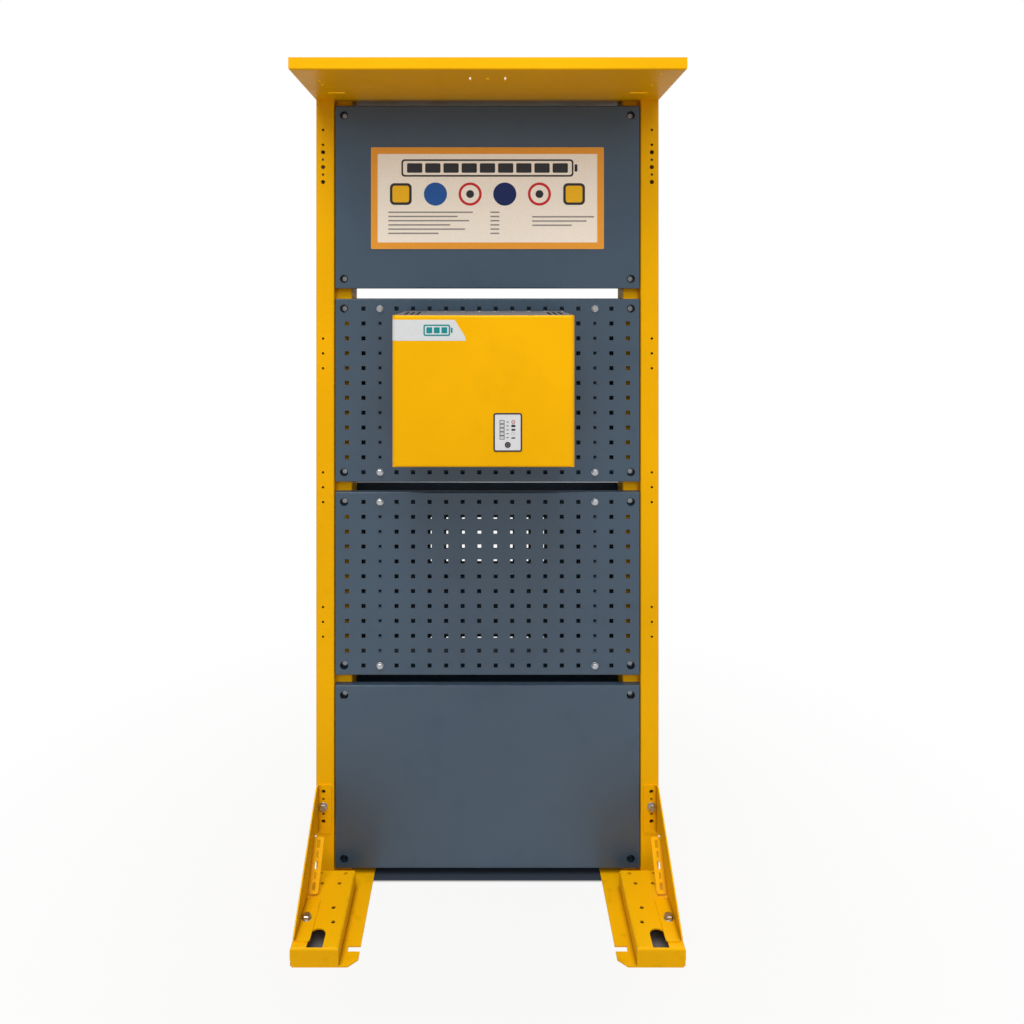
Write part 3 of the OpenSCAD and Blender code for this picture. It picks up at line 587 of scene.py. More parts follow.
class Print:
    """Flat printed shapes on a face that looks to the front, as one mesh."""

    def __init__(self, keys, face, rise, sink):
        self.bm = bmesh.new()
        self.keys = keys
        self.front = face - rise
        self.back = face + sink

    def fill(self, key, outline, lift=0.0):
        """A filled shape in one of the inks."""
        add_prism(self.bm, outline, self.front - lift, self.back, self.keys.index(key))

    def band(self, key, outer, inner, lift=0.0):
        """The band between two outlines in one of the inks."""
        add_ring(self.bm, outer, inner, self.front - lift, self.back, self.keys.index(key))

    def finish(self, name, body, slot):
        return finish_mesh(name, self.bm, self.keys, body)


# Geometry Nodes building

# Shares of a bolt's sizes that its chamfers take
WASHER_CHAMFER = 0.25
HEAD_CHAMFER = 0.16
HEAD_TOP = 0.84
SHANK_RADIUS = 0.004
NUT_HEIGHT = 0.0065
HEX_SIDES = 6
WASHER_SIDES = 32
SHANK_SIDES = 20
# Least and most stretch of a weld's drops
DROP_LEAST = (0.55, 0.88, 0.80)
DROP_MOST = (0.70, 1.08, 0.96)


class Rule:
    """A Geometry Nodes tree with named inputs."""

    def __init__(self, name, inputs):
        self.tree = bpy.data.node_groups.new(name, "GeometryNodeTree")
        self.tree.interface.new_socket("Points", in_out="INPUT", socket_type="NodeSocketGeometry")
        self.keys = {}
        for key, kind in inputs.items():
            socket = self.tree.interface.new_socket(key, in_out="INPUT", socket_type=kind)
            self.keys[key] = socket.identifier
        self.tree.interface.new_socket("Mesh", in_out="OUTPUT", socket_type="NodeSocketGeometry")
        self.start = self.tree.nodes.new("NodeGroupInput").outputs
        self.end = self.tree.nodes.new("NodeGroupOutput").inputs

    def node(self, kind, settings=None, sockets=None, out=0):
        """Adds a node of a kind, sets it, feeds its sockets, and gives back one of its outputs."""
        made = self.tree.nodes.new(kind)
        for key, value in (settings or {}).items():
            setattr(made, key, value)
        for key, value in (sockets or {}).items():
            if isinstance(value, bpy.types.NodeSocket):
                self.tree.links.new(value, made.inputs[key])
            else:
                made.inputs[key].default_value = value
        return made.outputs[out]

    def maths(self, operation, a, b):
        return self.node("ShaderNodeMath", {"operation": operation}, {0: a, 1: b})

    def cylinder(self, sides, radius, depth):
        """An upright cylinder round the origin."""
        sockets = {"Vertices": sides, "Radius": radius, "Depth": depth}
        return self.node("GeometryNodeMeshCylinder", sockets=sockets)

    def cone(self, sides, low, high, depth):
        """An upright cone that stands on the origin."""
        sockets = {"Vertices": sides, "Radius Bottom": low, "Radius Top": high, "Depth": depth}
        return self.node("GeometryNodeMeshCone", sockets=sockets)

    def lift(self, mesh, z):
        """A mesh raised by z."""
        up = self.node("ShaderNodeCombineXYZ", sockets={"Z": z})
        return self.node("GeometryNodeTransform", sockets={"Geometry": mesh, "Translation": up})

    def join(self, *meshes):
        made = self.tree.nodes.new("GeometryNodeJoinGeometry")
        for mesh in meshes:
            self.tree.links.new(mesh, made.inputs[0])
        return made.outputs[0]

    def finish(self, mesh, material):
        """Ends the tree in real meshes with a material."""
        real = self.node("GeometryNodeRealizeInstances", sockets={0: mesh})
        sockets = {"Geometry": real, "Material": material}
        painted = self.node("GeometryNodeSetMaterial", sockets=sockets)
        self.tree.links.new(painted, self.end[0])


def bolt_rule():
    """A hexagon bolt with washer, shank and nut at each point."""
    if bolt_rule.made:
        return bolt_rule.made
    rule = Rule(
        "bolts",
        {
            "Washer": "NodeSocketFloat",
            "Washer height": "NodeSocketFloat",
            "Head": "NodeSocketFloat",
            "Head height": "NodeSocketFloat",
            "Shank": "NodeSocketFloat",
            "Grip": "NodeSocketFloat",
            "Nut": "NodeSocketBool",
            "Turn": "NodeSocketVector",
            "Material": "NodeSocketMaterial",
        },
    )
    s = rule.start
    bevel = rule.maths("MULTIPLY", s["Washer height"], WASHER_CHAMFER)
    body_height = rule.maths("SUBTRACT", s["Washer height"], bevel)
    washer = rule.cylinder(WASHER_SIDES, s["Washer"], body_height)
    washer = rule.lift(washer, rule.maths("MULTIPLY", body_height, 0.5))
    rim = rule.cone(WASHER_SIDES, s["Washer"], rule.maths("SUBTRACT", s["Washer"], bevel), bevel)
    rim = rule.lift(rim, body_height)
    edge = rule.maths("MULTIPLY", s["Head height"], HEAD_CHAMFER)
    hex_height = rule.maths("SUBTRACT", s["Head height"], edge)
    head = rule.cylinder(HEX_SIDES, s["Head"], hex_height)
    head_middle = rule.maths("ADD", s["Washer height"], rule.maths("MULTIPLY", hex_height, 0.5))
    head = rule.lift(head, head_middle)
    top = rule.cone(HEX_SIDES, s["Head"], rule.maths("MULTIPLY", s["Head"], HEAD_TOP), edge)
    top = rule.lift(top, rule.maths("ADD", s["Washer height"], hex_height))
    shank = rule.cylinder(SHANK_SIDES, SHANK_RADIUS, s["Shank"])
    shank = rule.lift(shank, rule.maths("MULTIPLY", s["Shank"], -0.5))
    nut = rule.cylinder(HEX_SIDES, s["Head"], NUT_HEIGHT)
    nut = rule.lift(nut, rule.maths("SUBTRACT", -NUT_HEIGHT / 2, s["Grip"]))
    nut = rule.node("GeometryNodeSwitch", {"input_type": "GEOMETRY"}, {"Switch": s["Nut"], "True": nut})
    bolt = rule.join(washer, rim, head, top, shank, nut)
    bolts = rule.node(
        "GeometryNodeInstanceOnPoints",
        sockets={
            "Points": s["Points"],
            "Instance": bolt,
            "Rotation": rule.node("FunctionNodeEulerToRotation", sockets={0: s["Turn"]}),
        },
    )
    rule.finish(bolts, s["Material"])
    bolt_rule.made = rule
    return rule


bolt_rule.made = None


def weld_rule():
    """Overlapping drops at the points, as a weld leaves them."""
    kinds = {"Width": "NodeSocketFloat", "Seed": "NodeSocketInt", "Material": "NodeSocketMaterial"}
    rule = Rule("welds", kinds)
    s = rule.start
    sphere = {"Segments": 10, "Rings": 6, "Radius": s["Width"]}
    drop = rule.node("GeometryNodeMeshUVSphere", sockets=sphere)
    uneven = rule.node(
        "FunctionNodeRandomValue",
        {"data_type": "FLOAT_VECTOR"},
        {"Min": DROP_LEAST, "Max": DROP_MOST, "Seed": s["Seed"]},
    )
    sockets = {"Points": s["Points"], "Instance": drop, "Scale": uneven}
    drops = rule.node("GeometryNodeInstanceOnPoints", sockets=sockets)
    rule.finish(drops, s["Material"])
    return rule


def grow(name, points, rule, values):
    """Runs a rule on points and gives back the plain mesh it makes."""
    seed = bpy.data.meshes.new(name + "_points")
    seed.from_pydata(points, [], [])
    holder = bpy.data.objects.new(name + "_points", seed)
    bpy.context.scene.collection.objects.link(holder)
    modifier = holder.modifiers.new("rule", "NODES")
    modifier.node_group = rule.tree
    for key, value in values.items():
        modifier[rule.keys[key]] = value
    graph = bpy.context.evaluated_depsgraph_get()
    mesh = bpy.data.meshes.new_from_object(holder.evaluated_get(graph), depsgraph=graph)
    bpy.data.objects.remove(holder)
    mesh.name = name
    return mesh


def bolt_mesh(name, points, turn, shank, nut_grip=None, key="zinc", larger=1.0):
    """Bolts of one length and direction. Larger ones have wider washers and heads."""
    s = sizes()
    return grow(
        name,
        points,
        bolt_rule(),
        {
            "Washer": s.washer * larger,
            "Washer height": s.washer_height,
            "Head": s.head * larger,
            "Head height": s.head_height * larger,
            "Shank": shank,
            "Grip": nut_grip or 0.0,
            "Nut": nut_grip is not None,
            "Turn": turn,
            "Material": finishes()[key],
        },
    )


def bolt_piece(name, node, meshes, key="zinc"):
    """One piece of bolts that stands for a CAD node."""
    bm = bmesh.new()
    for mesh in meshes:
        bm.from_mesh(mesh)
        bpy.data.meshes.remove(mesh)
    piece = finish_mesh(name, bm, [key], "station")
    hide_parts(node)
    return piece


# Operators


class StationPaint(bpy.types.Operator):
    """Gives every CAD part its finish"""

    bl_idname = "station.paint"
    bl_label = "Paint the CAD parts"

    def execute(self, context):
        slots = {s["node"]: s["material_slot"] for s in frame["record"]["subparts"]}
        for name, node in frame["nodes"].items():
            key = SLOT_FINISH[slots[name]]
            if name.startswith("foot_"):
                key = "foot_yellow"
            node.data.materials.clear()
            node.data.materials.append(finishes()[key])
        return {"FINISHED"}


FRONT = (math.pi / 2, 0.0, 0.0)
REAR = (-math.pi / 2, 0.0, 0.0)
UP = (0.0, 0.0, 0.0)

FRONT_PANELS = ("header_panel", "charger_panel", "perforated_panel", "lower_panel")
RAIL_PANELS = ("charger_panel", "perforated_panel")
CORNERS = ((-1, -1), (-1, 1), (1, -1), (1, 1))

# Lengths of the shanks below the washers, the sheets that the rail bolts hold, and the gussets' sheet
CORNER_SHANK = 0.014
RAIL_SHANK = 0.0125
RAIL_GRIP = 0.0045
GUSSET_SHANK = 0.017
FOOT_SHANK = 0.018
CANOPY_SHANK = 0.012
GUSSET_SHEET = 0.003


class StationBolts(bpy.types.Operator):
    """Makes the bolts with chamfered heads and washers"""

    bl_idname = "station.bolts"
    bl_label = "Make the bolts"

    def execute(self, context):
        self.corners("corner_bolts_front", "front_panel_bolts", -1, FRONT)
        self.corners("corner_bolts_rear", "rear_panel_bolts", 1, REAR)
        self.rails()
        self.gussets()
        self.canopy()
        return {"FINISHED"}

    def corners(self, name, node, side, turn):
        s = sizes()
        points = []
        for panel in FRONT_PANELS:
            low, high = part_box(panel)
            y = side * (abs(low.y) - s.panel_depth + s.panel_sheet)
            z = (low.z + high.z) / 2
            for x in (low.x + s.corner_inset, high.x - s.corner_inset):
                points += [(x, y, z - s.row_reach), (x, y, z + s.row_reach)]
        # The corner bolts take the darker zinc, as painted shade of their recesses.
        mesh = bolt_mesh(node, points, turn, CORNER_SHANK, key="dark_zinc")
        bolt_piece(name, node, [mesh], "dark_zinc")

    def rails(self):
        s = sizes()
        points = []
        for panel in RAIL_PANELS:
            low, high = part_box(panel)
            z = (low.z + high.z) / 2
            for x in (-s.rail_reach, s.rail_reach):
                points += [(x, low.y, z - s.row_reach), (x, low.y, z + s.row_reach)]
        mesh = bolt_mesh("rail_bolts", points, FRONT, RAIL_SHANK, RAIL_GRIP)
        bolt_piece("rail_bolts", "stiffener_bolts", [mesh])

    def gussets(self):
        s = sizes()
        low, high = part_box("gusset_bolts")
        x = high.x - s.washer
        z = high.z - s.washer
        front_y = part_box("gusset_front_right")[1].y - GUSSET_SHEET
        foot_y = low.y + s.washer
        foot_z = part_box("foot_right")[1].z + GUSSET_SHEET
        front = [(-x, front_y, z), (x, front_y, z)]
        rear = [(px, -py, pz) for px, py, pz in front]
        floor = [(sx * x, sy * foot_y, foot_z) for sx, sy in CORNERS]
        bolt_piece(
            "gusset_bolts_detailed",
            "gusset_bolts",
            [
                bolt_mesh("gusset_front", front, FRONT, GUSSET_SHANK, larger=s.gusset_bolt),
                bolt_mesh("gusset_rear", rear, REAR, GUSSET_SHANK, larger=s.gusset_bolt),
                bolt_mesh("gusset_foot", floor, UP, FOOT_SHANK, larger=s.gusset_bolt),
            ],
        )

    def canopy(self):
        s = sizes()
        low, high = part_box("canopy_bolts")
        x, y, seat = high.x - s.washer, high.y - s.washer, low.z + CANOPY_SHANK
        points = [(sx * x, sy * y, seat) for sx, sy in CORNERS]
        mesh = bolt_mesh("canopy_bolts", points, UP, CANOPY_SHANK)
        bolt_piece("canopy_bolts_detailed", "canopy_bolts", [mesh])


# Both ends of a weld, from the outer side of the upright, and the seed of its drops
WELD_START = 0.041
WELD_END = 0.003
WELD_SEED = 7


class StationWelds(bpy.types.Operator):
    """Lays weld beads where the uprights stand on the soles of the feet"""

    bl_idname = "station.welds"
    bl_label = "Lay the welds"

    def execute(self, context):
        s = sizes()
        low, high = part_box("upright_right")
        start, end = high.x - WELD_START, high.x - WELD_END
        steps = round((end - start) / s.weld_pitch)
        points = [
            (sx * (start + s.weld_pitch * k), sy * high.y, low.z)
            for sx, sy in CORNERS
            for k in range(steps + 1)
        ]
        values = {"Width": s.weld, "Seed": WELD_SEED, "Material": finishes()["foot_yellow"]}
        mesh = grow("welds", points, weld_rule(), values)
        bm = bmesh.new()
        bm.from_mesh(mesh)
        bpy.data.meshes.remove(mesh)
        finish_mesh("weld_beads", bm, ["foot_yellow"], "station")
        return {"FINISHED"}


# Thread, width over the flats and bore of the glands
GLANDS = {"mains_gland": (0.025, 0.030, 0.013), "lead_glands": (0.032, 0.037, 0.018)}
GLAND_REACH = 0.020
GLAND_SIDES = 72
CHASSIS_SHEET = 0.0015
COVER_SCREW = {"shank": 0.0025, "length": 0.009, "height": 0.0026, "socket": 0.0019}
GUARD_SCREW = {"shank": 0.0020, "length": 0.0075, "head": 0.0042, "height": 0.0022, "socket": 0.0016}
GUARD_RINGS = (0.010, 0.020, 0.030, 0.040)
GUARD_SPOKES = (45, 135)
# Distance of the guard's screws from the fan's axis, radius of the eyes round them, and how far
# the spokes end before them
GUARD_FIXING = 0.0583
GUARD_EYE = 0.0034
SPOKE_END = 0.003
Z_AXIS = (0.0, 0.0, 1.0)


class StationFittings(bpy.types.Operator):
    """Makes the cover screws, the cable glands and the wire guard of the fan"""

    bl_idname = "station.fittings"
    bl_label = "Make the charger's fittings"

    def execute(self, context):
        self.screws()
        for node, (thread, flats, bore) in GLANDS.items():
            self.glands(node, thread, flats, bore)
        self.guard()
        return {"FINISHED"}

    def screws(self):
        low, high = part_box("cover_screws")
        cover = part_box("charger_cover")
        head = (high.z - low.z) / 2
        profile = screw_profile(head=head, **COVER_SCREW)
        bm = bmesh.new()
        for x, way in ((cover[0].x, -1.0), (cover[1].x, 1.0)):
            for y in (low.y + head, high.y - head):
                add_turned(bm, profile, (x, y, (low.z + high.z) / 2), (way, 0.0, 0.0))
        piece = finish_mesh("cover_screws_detailed", bm, ["zinc"], "station")
        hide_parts("cover_screws")

    def glands(self, node, thread, flats, bore):
        low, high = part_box(node)
        reach = flats / 2 / math.cos(HALF_FLAT)
        profile = gland_profile(thread, flats, bore, CHASSIS_SHEET)
        bm = bmesh.new()
        for x in sorted({round(low.x + reach, 5), round(high.x - reach, 5)}):
            place = (x, (low.y + high.y) / 2, low.z + GLAND_REACH)
            add_turned(bm, profile, place, Z_AXIS, GLAND_SIDES)
        piece = finish_mesh(node + "_detailed", bm, ["black", "rubber"], "station")
        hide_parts(node)

    def guard(self):
        low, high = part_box("fan_guard")
        middle = (low + high) / 2
        wire = (high.z - low.z) / 2
        reach = GUARD_FIXING - SPOKE_END
        section = ((0.0, -reach), (wire, -reach), (wire, reach), (0.0, reach))
        spoke = [(radius, height, "round") for radius, height in section]
        screw = screw_profile(**GUARD_SCREW)
        bm = bmesh.new()
        for radius in GUARD_RINGS:
            add_turned(bm, wire_ring(radius, wire), middle, Z_AXIS)
        for turn in GUARD_SPOKES:
            along = Vector((math.cos(math.radians(turn)), math.sin(math.radians(turn)), 0.0))
            add_turned(bm, spoke, middle, along, count=10)
            for end in (-1, 1):
                eye = middle + along * GUARD_FIXING * end
                add_turned(bm, wire_ring(GUARD_EYE, wire), eye, Z_AXIS, count=24)
                add_turned(bm, screw, eye - Vector((0.0, 0.0, wire)), (0.0, 0.0, -1.0), count=36)
        piece = finish_mesh("fan_guard_wires", bm, ["zinc"], "station")
        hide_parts("fan_guard")


SIGN_SINK = 0.0004
SIGN_TRIM = 0.0004
# Places on the sign are measured from its middle
GAUGE_RISE = 0.073
GAUGE_LINE = 0.004
GAUGE_CELLS = 9
GAUGE_END = 0.010
GAUGE_CELL_GAP = 0.007
GAUGE_CELL_MARGIN = 0.019
BADGES = ("tile", "blue", "ring", "navy", "ring", "tile")
BADGE_RISE = 0.010
# Sizes of a badge's parts against its width
TILE_SIDE = 0.94
TILE_FRAME = 0.11
RING_HOLE = 0.78
RING_DOT = 0.34
LINE_PITCH = 0.0102
LINE_WIDTH = 0.0034
LINE_ROUND = 0.0015
# Where each column of lines starts, the height of its first line, and the lengths of its lines
LINE_COLUMNS = (
    (-0.240, -0.034, (0.205, 0.168, 0.196, 0.150, 0.186, 0.122)),
    (0.007, -0.034, (0.022,) * 6),
    (0.108, -0.045, (0.150, 0.132, 0.096)),
)


class StationSign(bpy.types.Operator):
    """Prints the sign: a border, a charge gauge, badges and lines"""

    bl_idname = "station.sign"
    bl_label = "Print the sign"

    def execute(self, context):
        s = sizes()
        low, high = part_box("sign_board")
        mid = (low + high) / 2
        w, h = high.x - low.x, high.z - low.z
        keys = ["orange", "ink", "amber", "blue", "navy", "red", "line"]
        sign = Print(keys, low.y, s.ink, SIGN_SINK)
        sign.band(
            "orange",
            rounded(mid.x, mid.z, w - SIGN_TRIM, h - SIGN_TRIM, 0.003),
            rounded(mid.x, mid.z, w - 2 * s.sign_border, h - 2 * s.sign_border, 0.002),
        )
        self.gauge(sign, mid.x, mid.z + GAUGE_RISE)
        for k, kind in enumerate(BADGES):
            x = mid.x + (k - (len(BADGES) - 1) / 2) * s.badge_pitch
            self.badge(sign, kind, x, mid.z + BADGE_RISE)
        for start, first, lengths in LINE_COLUMNS:
            for row, length in enumerate(lengths):
                x, z = mid.x + start + length / 2, mid.z + first - LINE_PITCH * row
                sign.fill("line", rounded(x, z, length, LINE_WIDTH, LINE_ROUND, 3))
        sign.finish("sign_print", "station", "sign_cream")
        return {"FINISHED"}

    def gauge(self, sign, x, z):
        """A row of cells in a frame with a pole at its end."""
        s = sizes()
        w, h = s.gauge_length, s.gauge_height
        inner = rounded(x, z, w - 2 * GAUGE_LINE, h - 2 * GAUGE_LINE, 0.005)
        sign.band("ink", rounded(x, z, w, h, 0.008), inner)
        sign.fill("ink", rounded(x + w / 2 + 0.006, z, 0.007, h * 0.42, 0.002))
        span = (w - 2 * GAUGE_END) / GAUGE_CELLS
        for k in range(GAUGE_CELLS):
            cell = x - w / 2 + GAUGE_END + span * (k + 0.5)
            sign.fill("ink", rounded(cell, z, span - GAUGE_CELL_GAP, h - GAUGE_CELL_MARGIN, 0.003))

    def badge(self, sign, kind, x, z):
        """A framed tile, a ring with a dot, or a disc."""
        width = sizes().badge
        r = width / 2
        if kind == "tile":
            side, field = width * TILE_SIDE, width * (TILE_SIDE - 2 * TILE_FRAME)
            inner = rounded(x, z, field, field, 0.006)
            sign.band("ink", rounded(x, z, side, side, 0.011), inner)
            sign.fill("amber", inner)
        elif kind == "ring":
            sign.band("red", circle(x, z, r), circle(x, z, r * RING_HOLE))
            sign.fill("ink", circle(x, z, r * RING_DOT))
        else:
            sign.fill(kind, circle(x, z, r))


# The label's edges, from the lower left corner of the cover, and the slant of its end
LABEL_LOW = 0.266
LABEL_HIGH = 0.310
LABEL_END = 0.155
LABEL_SLANT = 0.020
LABEL_TIP = 0.004
LABEL_TIP_START = 0.85
LABEL_SINK = 0.0003
LABEL_STEPS = 10
# The cover's bend, and how far the label runs round it
COVER_BEND = 0.010
BEND_DEGREES = 78.0
BEND_STEPS = 8
GLYPH_PLACE = 0.094
GLYPH_LIFT = 0.0002
GLYPH_PITCH = 0.0158


class StationLabel(bpy.types.Operator):
    """Makes the label on the charger's cover, which bends round its left edge"""

    bl_idname = "station.label"
    bl_label = "Make the cover label"

    def execute(self, context):
        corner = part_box("charger_cover")[0]
        z0, z1 = corner.z + LABEL_LOW, corner.z + LABEL_HIGH
        flat = corner.x + COVER_BEND
        label = Print(["label", "teal"], corner.y, sizes().ink, LABEL_SINK)
        slant = []
        for k in range(LABEL_STEPS + 1):
            t = k / LABEL_STEPS
            tip = LABEL_TIP * max(0.0, t - LABEL_TIP_START) / (1 - LABEL_TIP_START)
            x = corner.x + LABEL_END - LABEL_SLANT * t * t * (3 - 2 * t) - tip
            slant.append((x, z0 + (z1 - z0) * t))
        label.fill("label", [(flat, z0)] + slant + [(flat, z1)])
        self.bend(label.bm, flat, corner.y + COVER_BEND, z0, z1)
        self.glyph(label, corner.x + GLYPH_PLACE, (z0 + z1) / 2)
        label.finish("cover_label", "station", "face_grey")
        return {"FINISHED"}

    def bend(self, bm, x, y, z0, z1):
        """The part of the label on the bend."""
        arc = []
        for k in range(BEND_STEPS + 1):
            a = math.radians(BEND_DEGREES * k / BEND_STEPS)
            arc.append((math.sin(a), math.cos(a)))
        rings = []
        for radius in (COVER_BEND + sizes().ink, COVER_BEND - LABEL_SINK):
            for z in (z0, z1):
                rings.append([bm.verts.new((x - radius * sx, y - radius * cy, z)) for sx, cy in arc])
        outer_low, outer_high, inner_low, inner_high = rings
        for k in range(BEND_STEPS):
            bm.faces.new((outer_low[k], outer_high[k], outer_high[k + 1], outer_low[k + 1]))
            bm.faces.new((inner_low[k], inner_low[k + 1], inner_high[k + 1], inner_high[k]))
            bm.faces.new((outer_high[k], inner_high[k], inner_high[k + 1], outer_high[k + 1]))
            bm.faces.new((outer_low[k], outer_low[k + 1], inner_low[k + 1], inner_low[k]))
        for k in (0, BEND_STEPS):
            bm.faces.new((outer_low[k], inner_low[k], inner_high[k], outer_high[k]))

    def glyph(self, label, x, z):
        """A plain battery with three cells."""
        outer, inner = rounded(x, z, 0.056, 0.024, 0.004), rounded(x, z, 0.050, 0.018, 0.002)
        label.band("teal", outer, inner, GLYPH_LIFT)
        label.fill("teal", rounded(x + 0.0312, z, 0.004, 0.011, 0.001), GLYPH_LIFT)
        for k in (-1, 0, 1):
            cell = rounded(x + GLYPH_PITCH * k, z, 0.0122, 0.0126, 0.001)
            label.fill("teal", cell, GLYPH_LIFT)


DISPLAY_RISE = 0.00015
DISPLAY_SINK = 0.0003
# The five rows of the display: height of the first above the lowest window's edge, and pitch
ROWS = 5
FIRST_ROW = 0.0033
ROW_PITCH = 0.0082
TICK_ASIDE = -0.0005
SYMBOL_ASIDE = 0.0115
SYMBOL_WIDTH = 0.0078
# Row, height and drop of the filled symbols
SYMBOLS = ((3, 0.0050, 0.0), (2, 0.0042, 0.0), (0, 0.0030, 0.0008))
POLE_ASIDE = 0.0045
# The bezel's section: width, height, corner radius, and depth behind the front of the cover
BEZEL = (
    (0.0605, 0.0815, 0.0050, 0.0),
    (0.0604, 0.0814, 0.0050, -0.0006),
    (0.0598, 0.0808, 0.0047, -0.0010),
    (0.0588, 0.0798, 0.0042, -0.0012),
    (0.0552, 0.0762, 0.0032, -0.0011),
    (0.0542, 0.0752, 0.0028, -0.0006),
    (0.0541, 0.0751, 0.0028, 0.0034),
    (0.0587, 0.0797, 0.0028, 0.0034),
    (0.0587, 0.0797, 0.0028, 0.0),
)


class StationDisplay(bpy.types.Operator):
    """Prints the display face and the mark on the stop button, and makes the bezel"""

    bl_idname = "station.display"
    bl_label = "Print the display"

    def execute(self, context):
        self.face()
        self.bezel()
        self.mark()
        return {"FINISHED"}

    def face(self):
        """Frames round the windows, a tick beside each, and a column of plain symbols."""
        low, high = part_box("display_face")
        w_low, w_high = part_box("status_windows")
        film = Print(["ink", "dim", "signal", "line"], low.y, DISPLAY_RISE, DISPLAY_SINK)
        window = (w_low.x + w_high.x) / 2
        middle = (low.x + high.x) / 2
        rows = [w_low.z + FIRST_ROW + ROW_PITCH * k for k in range(ROWS)]
        for z in rows:
            inner = rounded(window, z, 0.0078, 0.0054, 0.0006, 3)
            film.band("dim", rounded(window, z, 0.0106, 0.0081, 0.0008, 3), inner)
            film.fill("dim", rounded(middle + TICK_ASIDE, z, 0.0050, 0.0019, 0.0006, 2))
        x = middle + SYMBOL_ASIDE
        film.band("signal", circle(x, rows[4], 0.0039), circle(x, rows[4], 0.0021))
        for row, height, drop in SYMBOLS:
            z = rows[row] - drop
            film.fill("ink", rounded(x, z, SYMBOL_WIDTH, height, 0.0007, 3))
            film.fill("ink", rounded(x + POLE_ASIDE, z, 0.0009, height * 0.45, 0.0003, 2))
        inner = rounded(x, rows[1], 0.0068, 0.0036, 0.0004, 3)
        film.band("line", rounded(x, rows[1], SYMBOL_WIDTH, 0.0046, 0.0007, 3), inner)
        film.finish("display_print", "station", "face_grey")

    def bezel(self):
        """A soft-edged bezel that sits on the cover and reaches through it."""
        low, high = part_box("display_face")
        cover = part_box("charger_cover")[0].y
        x, z = (low.x + high.x) / 2, (low.z + high.z) / 2
        bm = bmesh.new()
        add_frame(bm, [(rounded(x, z, w, h, r), cover + depth) for w, h, r, depth in BEZEL])
        piece = finish_mesh("display_bezel_soft", bm, ["black"], "station")
        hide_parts("display_bezel")

    def mark(self):
        """A ring on the stop button, which moves with it."""
        low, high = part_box("stop_button")
        x, z = (low.x + high.x) / 2, (low.z + high.z) / 2
        mark = Print(["line"], low.y, DISPLAY_RISE, DISPLAY_SINK)
        mark.band("line", circle(x, z, 0.0032), circle(x, z, 0.0026))
        mark.finish("button_mark", "button", "button_grey")


# Place, aim, width and power of each lamp, and whether it shows in glossy surfaces
LAMPS = {
    "key": ((-0.8, -2.8, 6.5), (0.0, -0.1, 0.7), 3.4, 236.0, True),
    "fill": ((0.3, -3.0, 3.2), (0.0, 0.0, 1.4), 2.0, 42.0, False),
    "rim": ((0.6, 2.8, 3.2), (0.0, 0.0, 1.0), 2.2, 58.0, True),
}
CAMERA_ASIDE = -0.005
SENSOR = 36.0
LENS = 29.05
SHIFT = (0.026, -0.217)
WHITE = (1.0, 1.0, 1.0)
WORLD_LIGHT = 0.50
FLOOR_REACH = 40
FLOOR_DROP = 0.0005
# The floor shows white by this share near the station, and in full further away
WHITE_NEAR = 0.90
WHITE_FROM, WHITE_TO = 0.5, 1.6
# The floor in the hollows of the feet: width, margin and how dark its painted shade is
HOLLOW_WIDTH = 0.100
HOLLOW_MARGIN = 0.004
HOLLOW_SHADE = 0.64
# Soft edges of the painted shadow on the floor under the lowest panels
RACK_EDGE_X = 0.008
RACK_EDGE_Y = (0.021, 0.013)


